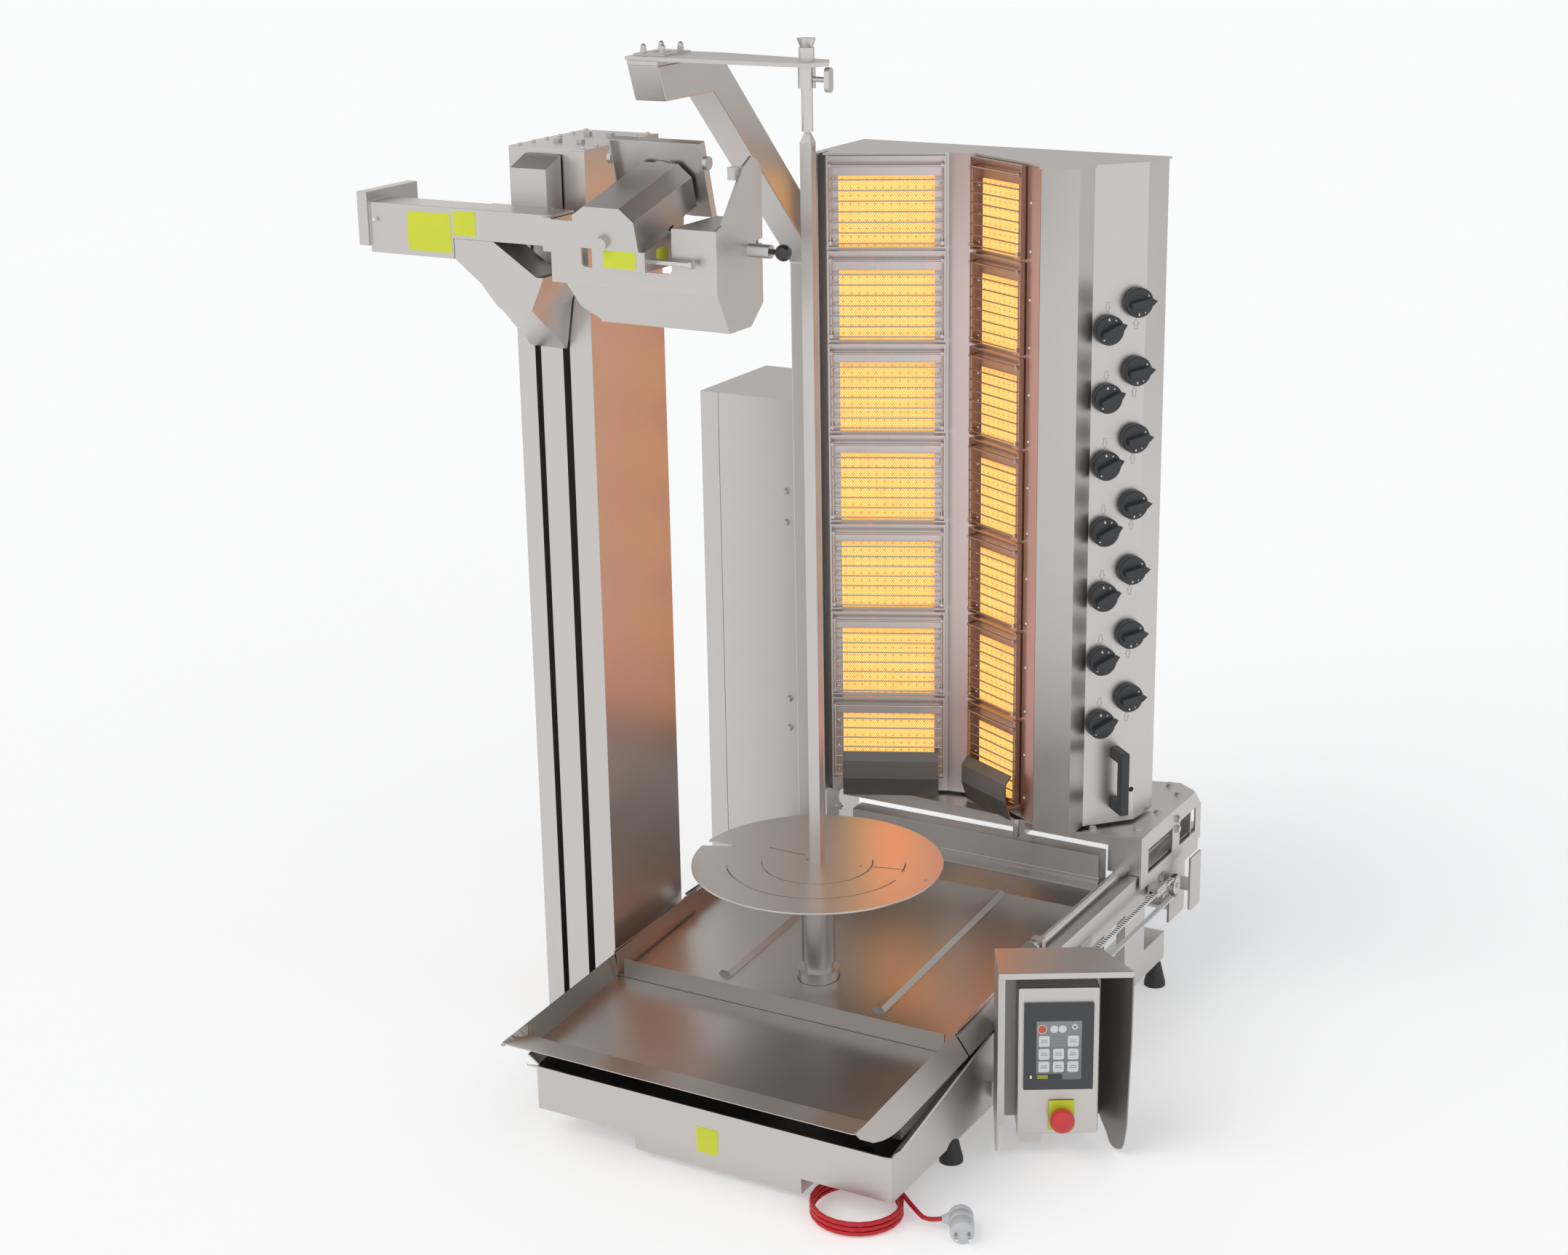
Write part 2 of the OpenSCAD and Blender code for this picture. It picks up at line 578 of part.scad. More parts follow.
module lift_carriage() color(steel) {
    difference() {
        block([nut_x0, col_y0 + col_wall + part_gap, nut_z0], [nut_x1, nut_y1, nut_z1]);
        rod_z([screw_x, screw_y, nut_z0 - cut], nut_z1 - nut_z0 + cut * 2, screw_d + running * 2);
    }
    // Webs through the slots
    for (s = [slot_l, slot_r]) for (z = [[bracket_low + web_gap * 10, bracket_top - web_gap * 4], [cover_z0, nut_z1]])
        block([s[0] + web_gap, col_y0 - col_gap, z[0]], [s[1] - web_gap, col_y0 + col_wall + part_gap * 4, z[1]]);
    block([nut_x0, col_y0 + col_wall + part_gap, bracket_low + web_gap * 10], [nut_x1, col_y0 + col_wall + part_gap * 4, nut_z0]);
    // Outer cover with a bevelled top
    difference() {
        along_x(cover_x0, cover_x1) polygon([[col_y0 - col_gap, cover_z0], [col_y0 - col_gap, cover_top], [cover_y, cover_top - cover_bevel], [cover_y, cover_z0]]);
        along_x(cover_x0 + col_wall, cover_x1 - col_wall) polygon([[col_y0 - col_gap + cut, nut_z1 + col_wall], [col_y0 - col_gap + cut, cover_top - col_wall],
            [cover_y + col_wall, cover_top - cover_bevel - col_wall], [cover_y + col_wall, nut_z1 + col_wall]]);
    }
    block([seat_x0, arm_y1, arm_z + loose], [seat_x1, cover_y, arm_z + arm_h - loose]);
    // Lower bracket: folded walls that fall back to the slots
    intersection() {
        along_x(bracket_x0, bracket_x0 + bracket_w) polygon([[col_y0 - col_gap, bracket_low], [col_y0 - col_gap, bracket_top], [arm_y0, bracket_top], [arm_y0, bracket_front_low]]);
        along_y(arm_y0 - cut, col_y0) polygon([for (s = bracket_shares) bracket_at(s)]);
    }
    // Brace between the bracket and the arm
    along_y(arm_y0, arm_y1) polygon(concat([[arm_slope_x + part_gap, arm_z - arm_drop + loose]],
        [for (s = brace_shares) bracket_at(s)], [[arm_slope_x + part_gap, arm_z]]));
}

// Arm: a square tube with a deeper end and an end cap
arm_x0 = -660;
arm_x1 = -322;
arm_wall = 4;
arm_drop = 31;
arm_cap_t = 19;
arm_cap_y1 = -72;
arm_cap_over = 5;
arm_cap_z0 = 1361;
arm_cap_z1 = 1443;
module arm_beam() color(steel) {
    difference() {
        union() {
            block([arm_x0, arm_y0, arm_z], [arm_x1, arm_y1, arm_z + arm_h]);
            block([arm_x0, arm_y0, arm_z - arm_drop], [arm_slope_x, arm_y1, arm_z]);
        }
        block([arm_x0 + arm_cap_t, arm_y0 + arm_wall, arm_z + arm_wall], [arm_x1 + cut, arm_y1 - arm_wall, arm_z + arm_h - arm_wall]);
    }
    block([-arm_left, arm_y0 - arm_cap_over, arm_cap_z0], [-arm_left + arm_cap_t, arm_cap_y1, arm_cap_z1]);
}

// Head carrier: ram inside the arm, front plate with a U opening, skirt, block and right cheek
car_y0 = -202;
car_t = 4;
car_x0 = -321;
car_x1 = -37;
car_z0 = 1332;
car_z1 = 1424;
lap_x = -335;
lap_z = 1376;
open_x0 = -268;
open_x1 = -112;
open_z = 1358;
open_r = 8;
skirt_y = -169;
skirt_z = 1272;
skirt_x = -296;
skirt_cut = 38;
skirt_shares = [[-0.03, -0.17], [1, -0.17], [1, 0.07], [0.29, 0.38], [0, 0.98], [-0.03, 0.98]];
cheek_deep = 131;
cheek_shares = [[0, 0.244], [0, 0.618], [0.137, 0.642], [0.611, 0.951], [0.786, 1], [0.931, 0.959], [1, 0.898],
    [0.992, 0.504], [0.855, 0.5], [0.855, 0.48], [0.985, 0.476], [0.985, 0.122], [0.71, 0], [0.252, 0]];
horn_tab = [-141, -124];
horn_tab_h = 18;
horn_tab_drop = 30;
cheek_top = 1518;
pivot_y = -128;
pivot_z = 1400;
pivot_d = 14;
plunger_y = -109;
plunger_z = 1384;
plunger_d = 8;
plunger_bush_d = 20;
plunger_bush = 36;
ram_play = 0.3;
ram_len = 300;
block_back = -76;
module head_carrier() color(steel) {
    // Ram and the plate that joins it to the front
    block([arm_x1 - ram_len, arm_y0 + arm_wall + ram_play, arm_z + arm_wall + ram_play], [car_x0 + car_t, arm_y1 - arm_wall - ram_play, arm_z + arm_h - arm_wall - ram_play]);
    block([car_x0, car_y0 + car_t, car_z0 + car_t], [car_x0 + car_t, arm_y1, car_z1]);
    // Front plate
    along_y(car_y0, car_y0 + car_t) difference() {
        union() {
            polygon([[car_x0, car_z0], [car_x1, car_z0], [car_x1, car_z1], [car_x0, car_z1]]);
            polygon([[lap_x, lap_z], [car_x0 + cut, lap_z], [car_x0 + cut, car_z1 + car_t / 2], [lap_x, car_z1 + car_t / 2]]);
        }
        translate([open_x0, open_z + open_r]) square([open_x1 - open_x0, car_z1]);
        translate([open_x0 + open_r, open_z]) square([open_x1 - open_x0 - open_r * 2, car_z1]);
        for (x = [open_x0 + open_r, open_x1 - open_r]) translate([x, open_z + open_r]) circle(r = open_r);
    }
    // Skirt that folds in under the front plate
    difference() {
        along_x(skirt_x, car_x1) polygon(sheet([[car_y0, car_z0 + car_t], [car_y0, car_z0], [skirt_y, skirt_z]], car_t));
        along_y(car_y0 - cut, skirt_y + car_t * 4) polygon([for (s = skirt_shares)
            [skirt_x + skirt_cut * s.x, skirt_z + (car_z0 - skirt_z) * s.y]]);
    }
    // Right cheek with its raised horn
    difference() {
        along_x(car_x1 - car_t, car_x1) polygon([for (s = cheek_shares)
            [car_y0 + cheek_deep * s.x, skirt_z + (cheek_top - skirt_z) * s.y]]);
        rod_x([car_x1 - car_t - cut, plunger_y, plunger_z], car_t + cut * 2, plunger_d + running * 2);
    }
    block([car_x1 - car_t * 4, horn_tab[0], cheek_top - horn_tab_drop],
        [car_x1 - car_t, horn_tab[1], cheek_top - horn_tab_drop + horn_tab_h]);
    // Block beside the opening: left wall with the pivot bore, top and back
    difference() {
        block([open_x1, car_y0 + car_t, car_z0], [open_x1 + car_t * 2, block_back, car_z1]);
        rod_x([open_x1 - cut, pivot_y, pivot_z], car_t * 2 + cut * 2, pivot_d + running * 2);
    }
    block([open_x1 + car_t * 2, car_y0 + car_t, car_z1 - car_t], [car_x1 - car_t, block_back, car_z1]);
    block([open_x1 + car_t * 2, block_back - car_t, car_z0 + car_t * 6], [car_x1 - car_t, block_back, car_z1 - car_t]);
    // Bush of the index plunger
    difference() {
        rod_x([car_x1, plunger_y, plunger_z], plunger_bush, plunger_bush_d);
        rod_x([car_x1 - cut, plunger_y, plunger_z], plunger_bush + cut * 2, plunger_d + running * 2);
    }
}

// Index plunger with its ball
ball_d = 25;
ball_out = 56;
index_x0 = -62;
index_t = 6;
module index_plunger() color(black) {
    rod_x([index_x0 + part_gap, plunger_y, plunger_z], car_x1 + ball_out - index_x0 - part_gap, plunger_d);
    translate([car_x1 + ball_out, plunger_y, plunger_z]) sphere(d = ball_d);
}

// Cutter head: a faceted motor housing with its pivot, index sector and sharpener box
head_x0 = -249;
head_x1 = -145;
head_y = -238;
head_z = 1393;
head_tall = 65;
gear_d = 60;
head_shares = [[0, 0], [1, 0], [1, 0.692], [0.808, 1], [0.221, 1], [0, 0.754]];
head_cross = [for (s = head_shares) [head_x0 + (head_x1 - head_x0) * s.x, head_tall * s.y]];
head_mid = [(head_x0 + head_x1) / 2, 36];
pivot_lug = 18;
pivot_reach = head_x1 - pivot_lug;
index_r = 36;
index_flat = 8;
index_slot_r = norm([plunger_y - pivot_y, plunger_z - pivot_z]);
index_angle = atan2(plunger_z - pivot_z, plunger_y - pivot_y);
gear_back = 8;
shaft_d = 10;
// Puts children along the cutter axis: local Z runs from the front face to the blade
module on_head() translate([0, head_y, head_z]) rotate([head_tilt - 90, 0, 0]) mirror([0, 1, 0]) children();
knob_at = [-203, 12];
head_knob_d = 19;
head_knob_h = 8;
box_wide = [-225, -135];
box_y = [-238, -163];
sharp_box_z = 1364;
rod_bore = 30;
rod_in = 26;
rod_out = 62;
rod_tip = 5;
module head_housing() {
    color(steel) difference() {
        union() {
            on_head() linear_extrude(head_len - gear_back) polygon(head_cross);
            on_head() translate([head_mid.x, head_mid.y, head_len - gear_back]) cylinder(h = gear_back - guard_t - part_gap, d = gear_d);
            // Pivot lug, shaft and index sector
            block([pivot_reach, pivot_y - pivot_d, pivot_z - pivot_d], [head_x1, pivot_y + pivot_d, pivot_z + pivot_d * 2.2]);
            rod_x([head_x1 - cut, pivot_y, pivot_z], index_x0 + index_t - head_x1 + cut, pivot_d);
            difference() {
                rod_x([index_x0, pivot_y, pivot_z], index_t, index_r * 2);
                translate([index_x0 - cut, pivot_y, pivot_z]) rotate([index_angle, 0, 0]) rotate([90, 0, 90])
                    for (a = [-1.5:1.5:18]) rotate([0, 0, a]) translate([index_slot_r, 0, 0]) cylinder(h = index_t + cut * 2, d = plunger_d + loose);
                block([index_x0 - cut, pivot_y - index_r, pivot_z + index_flat], [index_x0 + index_t + cut, pivot_y + index_r, car_z1 + index_r]);
            }
            along_x(box_wide[0], box_wide[1]) polygon([[box_y[0], sharp_box_z], [box_y[1], sharp_box_z],
                [box_y[1], head_z + (box_y[1] - head_y) * tan(head_tilt)], [box_y[0], head_z]]);
        }
        on_head() translate([head_mid.x, head_mid.y, head_len - gear_back * 6]) cylinder(h = gear_back * 8, d = shaft_d + running * 2);
        rod_x([box_wide[1] - rod_bore, rod_at.y, rod_at.z], rod_bore + cut, sharp_d + running * 2);
    }
    color(black) on_head() translate([knob_at.x, knob_at.y, -head_knob_h]) cylinder(h = head_knob_h, d = head_knob_d);
}

// Blade guard: a shallow tray with rims towards the motor, and two thumb screws
guard_t = 2;
guard_x0 = -276;
guard_x1 = -118;
guard_v0 = -19;
guard_v1 = 100;
guard_rim = 12;
guard_cut = [40, 50, 8];
thumb_v = 69;
thumb_d = 20;
thumb_h = 7;
guard_z = head_len - guard_t;
module blade_guard() color(steel) on_head() {
    difference() {
        translate([0, 0, guard_z]) linear_extrude(guard_t) polygon([[guard_x0, guard_v0 + guard_cut.y],
            [guard_x0 + guard_cut.x, guard_v0 + guard_cut.z], [guard_x1 - guard_cut.x, guard_v0], [guard_x1, guard_v0],
            [guard_x1, guard_v1], [guard_x0, guard_v1]]);
        translate([head_mid.x, head_mid.y, guard_z - cut]) cylinder(h = guard_t + cut * 2, d = shaft_d * 3);
    }
    for (e = [[guard_x0, guard_v0 + guard_cut.y], [guard_x1 - guard_t, guard_v0]])
        block([e.x, e.y, guard_z - guard_rim], [e.x + guard_t, guard_v1, guard_z]);
    translate([guard_x0, guard_v1 - guard_t, guard_z - guard_rim]) cube([guard_x1 - guard_x0, guard_t, guard_rim]);
    for (x = [guard_x0 - thumb_h, guard_x1]) translate([x, thumb_v, guard_z - guard_rim / 2]) rotate([0, 90, 0]) cylinder(h = thumb_h, d = thumb_d);
}

// Round blade on its shaft
blade_t = 2;
blade_bevel = 1;
module blade() color("gainsboro") on_head() translate([head_mid.x, head_mid.y, 0]) {
    translate([0, 0, head_len + part_gap]) cylinder(h = blade_t, d = blade_d);
    translate([0, 0, head_len + part_gap + blade_t]) cylinder(h = blade_bevel, d1 = blade_d - blade_bevel * 8, d2 = blade_d - blade_bevel * 12);
    translate([0, 0, head_len - gear_back * 4]) cylinder(h = gear_back * 4 + part_gap + blade_t, d = shaft_d);
    translate([0, 0, head_len + part_gap + blade_t + blade_bevel]) cylinder(h = blade_t * 2, d = shaft_d * 2, $fn = 6);
}

// Pull rod of the sharpener
sharp_d = 8;
rod_at = [0, -215, 1377];
module sharpener_rod() color(steel) {
    rod_x([box_wide[1] - rod_in, rod_at.y, rod_at.z], rod_in + rod_out, sharp_d);
    rod_x([box_wide[1] + rod_out, rod_at.y, rod_at.z], rod_tip, sharp_d * 1.6);
}

// Pan: a drawer of folded sheet with a wide front lip
pan_y0 = -pan_front;
pan_lip_z = 202;
pan_x = 300;
pan_lip_x = 314;
pan_fold = 12;
pan_fold_y = 58;
pan_floor_y = 76;
pan_hem = 5;
function pan_z(y) = pan_lip_z + table_tan * (y + pan_front);
pan_len = (pan_front + table_front - sheet_t - part_gap) / cos(table_slope) - (pan_depth + sheet_t) * table_tan;
module in_pan() translate([0, pan_y0, pan_lip_z]) rotate([table_slope, 0, 0]) children();
module meat_pan() color(steel) in_pan() {
    along_x(-pan_x, pan_x) polygon(sheet([[0, -pan_hem], [0, 0], [pan_fold_y, -pan_fold], [pan_floor_y, -pan_depth], [pan_len, -pan_depth]], sheet_t));
    for (s = [0, 1]) mirror([s, 0, 0]) difference() {
        along_y(pan_hem, pan_len) polygon(sheet([[pan_x - sheet_t * 2, -pan_depth], [pan_x - sheet_t, -pan_depth], [pan_x - sheet_t, -pan_fold], [pan_lip_x, 0]], sheet_t));
        along_x(0, pan_lip_x + cut) polygon([[0, -pan_depth - cut], [pan_floor_y, -pan_depth - cut], [pan_floor_y, -pan_depth], [pan_fold_y, -pan_fold], [pan_hem, -pan_hem / 2], [0, -pan_hem]]);
    }
}

// Burner housing: a tall box whose front is a V, with a flange down its left edge
bh_z0 = 340;
bh_z1 = bh_z0 + housing_h;
bh_left = -221;
bh_front = 403;
housing_w = 549;
housing_deep = 187;
function bh_at(s) = [bh_left + housing_w * s.x, bh_front + housing_deep * s.y];
v_shares = [[0.038, 0.064], [0.37, 0.519], [0.454, 0.556], [0.734, 0.128]];
ctl_shares = [[0.749, 0], [0.869, 0], [0.873, 0.283], [0.987, 0.652], [1, 1]];
v_left = bh_at(v_shares[0]);
v_apex_l = bh_at(v_shares[1]);
v_apex_r = bh_at(v_shares[2]);
v_right = bh_at(v_shares[3]);
ctl_a = bh_at(ctl_shares[2]);
ctl_b = bh_at(ctl_shares[3]);
flange_y = 407;
flange_w = 10;
flange_gap = 30;
plan = concat([[bh_left, bh_front + housing_deep], [bh_left, flange_y], [bh_left + flange_w, flange_y],
    [bh_left + flange_w, flange_y + flange_gap], [v_left.x, flange_y + flange_gap]],
    [for (s = v_shares) bh_at(s)], [for (s = ctl_shares) bh_at(s)]);
left_dir = atan2(v_apex_l.y - v_left.y, v_apex_l.x - v_left.x);
right_dir = atan2(v_right.y - v_apex_r.y, v_right.x - v_apex_r.x);
// Local frames: x runs along the flank, y into the housing, z up
module on_left() translate([v_left.x, v_left.y, 0]) rotate([0, 0, left_dir]) children();
module on_right() translate([v_apex_r.x, v_apex_r.y, 0]) rotate([0, 0, right_dir]) children();
module on_control() translate([ctl_a.x, ctl_a.y, 0]) rotate([0, 0, atan2(ctl_b.y - ctl_a.y, ctl_b.x - ctl_a.x)]) children();
seam = 3;
left_w = norm(v_apex_l - v_left) - seam;
right_w = 139;
lid_over = 6;
lid_t = 3;
unit_top = bh_z1 - lid_t - part_gap;
unit_h = row_pitch - 5;
plaque_h = 117;
plaque_top = 33;
plaque_t = 14;
plaque_side = 20;
pocket = 24;
knob_shaft_d = 8;
knob_l = 26;
knob_r = 76;
knob_rows = 7;
knob_pitch = 111;
knob_first = [522, 563];
side_hole = [88, 395, 9];
function knob_z(column, i) = knob_first[column] + (knob_rows - 1 - i) * knob_pitch;
module unit_pockets(w) for (i = [0:burner_rows - 1])
    block([plaque_side - part_gap, -cut, unit_top - i * row_pitch - plaque_top - plaque_h - part_gap],
        [w - plaque_side + part_gap, pocket, unit_top - i * row_pitch - plaque_top + part_gap]);
module burner_housing() color(steel) difference() {
    union() {
        along_z(bh_z0, bh_z1 - lid_t) polygon(plan);
        along_z(bh_z1 - lid_t, bh_z1) offset(delta = lid_over / 2) polygon(plan);
    }
    on_left() unit_pockets(left_w);
    on_right() unit_pockets(right_w);
    on_control() for (i = [0:knob_rows - 1]) {
        rod_y([knob_l, -cut, knob_z(0, i)], pocket + cut, knob_shaft_d + running * 2);
        rod_y([knob_r, -cut, knob_z(1, i)], pocket + cut, knob_shaft_d + running * 2);
    }
    on_control() rod_y([side_hole[0], -cut, side_hole[1]], pocket, side_hole[2]);
}

// Burner unit: a frame that stands out from the flank, with a wire guard in front
frame_out = 14;
frame_wall = 2;
wire_d = 2.5;
bar_d = 4;
bar_drop = 15;
wire_first = 38;
wire_pitch = 17.3;
wires = 7;
wire_in = 6;
module unit_frames(w) for (i = [0:burner_rows - 1]) translate([0, 0, unit_top - i * row_pitch - unit_h]) {
    difference() {
        block([frame_wall, -frame_out, 0], [w - frame_wall, 0, unit_h]);
        block([frame_wall * 2, -frame_out - cut, frame_wall], [w - frame_wall * 2, -frame_wall, unit_h - frame_wall]);
        block([plaque_side, -frame_out, unit_h - plaque_top - plaque_h], [w - plaque_side, cut, unit_h - plaque_top]);
    }
    // Guard wires between two upright wires
    for (k = [0:wires - 1]) rod_x([wire_in, -frame_out - wire_d, unit_h - wire_first - k * wire_pitch], w - wire_in * 2, wire_d);
    rod_x([wire_in, -frame_out - wire_d, unit_h - bar_drop], w - wire_in * 2, bar_d);
    for (x = [wire_in + wire_d / 2, w - wire_in - wire_d / 2])
        rod_z([x, -frame_out + seat, frame_wall * 2], unit_h - bar_drop, wire_d);
    for (x = [wire_in + wire_d / 2, w - wire_in - wire_d / 2]) for (z = [frame_wall * 4, unit_h - bar_drop])
        rod_y([x, -frame_out, z], frame_out - frame_wall / 2, wire_d);
}
deflect_z0 = 337;
deflect_z1 = 404;
deflect_mid = 372;
deflect_out = 30;
deflect_w = 166;
deflect_in = 18;
deflect_lip = 14;
module deflector(x0, x1) along_x(x0, x1) polygon(sheet([[-deflect_in, deflect_z0], [-deflect_out, deflect_mid],
    [-deflect_out, deflect_z1], [-deflect_in, deflect_z1 + deflect_lip]], -sheet_t));
guard_mount = 8;
module deflector_studs(x0, x1) for (x = [x0 + guard_mount * 2, x1 - guard_mount * 2])
    rod_y([x, guard_mount - deflect_out, bh_z0 + guard_mount * 3 / 2], deflect_out - guard_mount, guard_mount);
module left_burner_frames() color(steel) on_left() {
    unit_frames(left_w);
    deflector(plaque_side, plaque_side + deflect_w);
    deflector_studs(plaque_side, plaque_side + deflect_w);
}
strip_t = 3;
module right_burner_frames() color(steel) on_right() {
    unit_frames(right_w);
    block([right_w + part_gap, -strip_t, bh_z0 + strip_t], [norm(v_right - v_apex_r) - part_gap, 0, bh_z1 - lid_t * 2]);
    deflector(guard_mount, right_w - guard_mount);
    deflector_studs(guard_mount, right_w - guard_mount);
}
module plaques(w) for (i = [0:burner_rows - 1])
    block([plaque_side + seat, -frame_wall, unit_top - i * row_pitch - plaque_top - plaque_h + seat],
        [w - plaque_side - seat, pocket - seat, unit_top - i * row_pitch - plaque_top - seat]);
module burner_plaques() color("orange") {
    on_left() plaques(left_w);
    on_right() plaques(right_w);
}

// Handle on the control face: an angular bar on two feet
handle_u = 57;
handle_foot_u = 19;
handle_z0 = 366;
handle_z1 = 476;
handle_out = 42;
handle_d = 16;
handle_foot = 20;
module handle_slab(z0, z1, v) along_z(z0, z1) polygon([for (p = [[-1, v], [-1, -handle_out], [1, -handle_out], [1, v]])
    [handle_u + p.x * handle_d / 2, p.y]]);
module housing_handle() color(black) on_control() {
    handle_slab(handle_z0, handle_z0 + handle_foot, 0);
    handle_slab(handle_z1 - handle_foot, handle_z1, 0);
    handle_slab(handle_z0 + handle_foot, handle_z1 - handle_foot, handle_d - handle_out);
}

// Gas knobs: a skirted knob with a grip ridge on its own shaft
knob_skirt = 4;
knob_body_h = 16;
knob_ridge_h = 8;
knob_ridge_w = 10;
module gas_knob(u, z) color(black) on_control() {
    rod_y([u, -seat, z], pocket - seat * 2, knob_shaft_d);
    rod_y([u, -seat - knob_skirt, z], knob_skirt, knob_d);
    rod_y([u, -seat - knob_skirt - knob_body_h, z], knob_body_h, knob_d * 0.82);
    block([u - knob_ridge_w / 2, -seat - knob_skirt - knob_body_h - knob_ridge_h, z - knob_d * 0.4],
        [u + knob_ridge_w / 2, -seat - knob_skirt - knob_body_h, z + knob_d * 0.4]);
}
module gas_knob_row(i) gas_knob(i < knob_rows ? knob_l : knob_r, knob_z(floor(i / knob_rows), i % knob_rows));

// Carriage under the burner housing: a folded plate, a bushing on the guide rod and the belt clamp
plate_z = 335;
plate_t = 4;
cross_z0 = 308;
cross_y = [480, 560];
cross_w = 16;
cross_x = [-205, 325];
guide_x = 331;
guide_z = 275;
guide_d = 14;
guide_front = 92;
bushing_d = 20;
bushing_y = 446;
bushing_len = 40;
tail_bush_y = 680;
tail_bush_len = 24;
side_x = 361;
side_t = 3;
side_y0 = 460;
side_y1 = 733;
side_z0 = 240;
side_cut = 30;
pad_h = bh_z0 - plate_z;
pad_d = 20;
carriage_x0 = -212;
carriage_y0 = 441;
carriage_shares = [[0, 0.099], [0.813, 0], [1, 0.082], [1, 0.914], [0.937, 1], [0.846, 0.949], [0.806, 0.459], [0, 0.459]];
pad_shares = [[0.038, 0.271], [0.37, 0.339], [0.719, 0.339], [0.859, 0.339]];
bolt_shares = [[0.848, 0.075], [0.965, 0.2], [0.965, 0.5], [0.965, 0.82], [0.915, 0.93]];
bolt_d = 13;
bolt_h = 5;
window_y = [[492, 600], [634, 708]];
window_z = [260, 305];
flange_x = 302;
flange_z = 255;
stand_at = [140, 446];
stand_d = 11;
stand_z = [304, 336];
clip_x = [-221, -197];
clip_y = 430;
clip_z = [277, 334];
star_at = [-196, 304];
star_r = 9;
star_teeth = 8;
star_t = 3;
pulley_y = [240, 590];
pulley_z = 205;
pulley_r = 16;
pulley_x0 = 371;
pulley_w = 8;
clamp_y = 500;
clamp_len = 40;
clamp_t = 6;
belt_t = 3;
belt_top = pulley_z + pulley_r + seat + belt_t;
function carriage_at(s) = [carriage_x0 + (side_x - carriage_x0) * s.x, carriage_y0 + (side_y1 - carriage_y0) * s.y];
module hex_bolt(h = bolt_h) {
    cylinder(h = h, d = bolt_d, $fn = 6);
    cylinder(h = h / 4, d = bolt_d * 1.2);
}
module burner_carriage() color(steel) {
    along_z(plate_z - plate_t, plate_z) polygon([for (s = carriage_shares) carriage_at(s)]);
    for (y = cross_y) block([cross_x[0], y - cross_w / 2, cross_z0], [cross_x[1], y + cross_w / 2, plate_z - plate_t]);
    for (s = pad_shares) translate(concat(carriage_at(s), [plate_z])) cylinder(h = pad_h, d = pad_d);
    for (s = bolt_shares) translate(concat(carriage_at(s), [plate_z])) hex_bolt();
    // Side plate with two windows and the bolts beside the second
    difference() {
        along_x(side_x, side_x + side_t) polygon([[side_y0, side_z0], [side_y0, plate_z], [side_y1 - side_cut, plate_z],
            [side_y1, plate_z - side_cut], [side_y1, side_z0]]);
        for (w = window_y) block([side_x - cut, w[0], window_z[0]], [side_x + side_t + cut, w[1], window_z[1]]);
    }
    for (z = [window_z[1] + bolt_d * 0.7, window_z[1] - bolt_d * 0.7])
        translate([side_x + side_t, window_y[1][0] - bolt_d, z]) rotate([0, 90, 0]) hex_bolt();
    // Front flange and rear plate, each with a bushing
    for (p = [[bushing_y, bushing_len], [tail_bush_y, tail_bush_len]]) difference() {
        union() {
            block([flange_x, p[0] + (p[1] - plate_t) / 2, flange_z], [side_x, p[0] + (p[1] + plate_t) / 2, plate_z - plate_t]);
            rod_y([guide_x, p[0], guide_z], p[1], bushing_d);
        }
        rod_y([guide_x, p[0] - cut, guide_z], p[1] + cut * 2, guide_d + running * 2);
        block([flange_x - cut, p[0] - cut, flange_z - cut], [rail_outer + part_gap, p[0] + p[1] + cut, rail_z1 + part_gap]);
    }
    // Stand beside the right burners, and the clip with its star wheel at the left
    rod_z([stand_at.x, stand_at.y, stand_z[0]], stand_z[1] - stand_z[0], stand_d);
    block([stand_at.x, stand_at.y, cross_z0], [stand_at.x + cross_w, cross_y[0], plate_z - plate_t]);
    block([clip_x[0], clip_y, clip_z[0]], [clip_x[1], clip_y + side_t, clip_z[1]]);
    block([clip_x[0], clip_y, clip_z[1] - side_t], [clip_x[1], cross_y[0], clip_z[1]]);
    translate([star_at[0], clip_y, star_at[1]]) rotate([90, 0, 0]) {
        linear_extrude(star_t) polygon([for (k = [0:star_teeth * 2 - 1])
            let(r = star_r * (k % 2 == 0 ? 1 : 0.62)) [r * cos(k * 180 / star_teeth), r * sin(k * 180 / star_teeth)]]);
        translate([0, 0, -side_t]) cylinder(h = star_t * 3, d = star_r);
    }
    // Belt clamp: a tab below the side plate with a jaw on each side of the upper run
    block([side_x, clamp_y, belt_top - belt_t - clamp_t], [side_x + side_t, clamp_y + clamp_len, side_z0]);
    block([side_x, clamp_y, belt_top + seat], [pulley_x0 + pulley_w, clamp_y + clamp_len, belt_top + seat + clamp_t]);
    block([side_x, clamp_y, belt_top - belt_t - seat - clamp_t],
        [pulley_x0 + pulley_w, clamp_y + clamp_len, belt_top - belt_t - seat]);
}

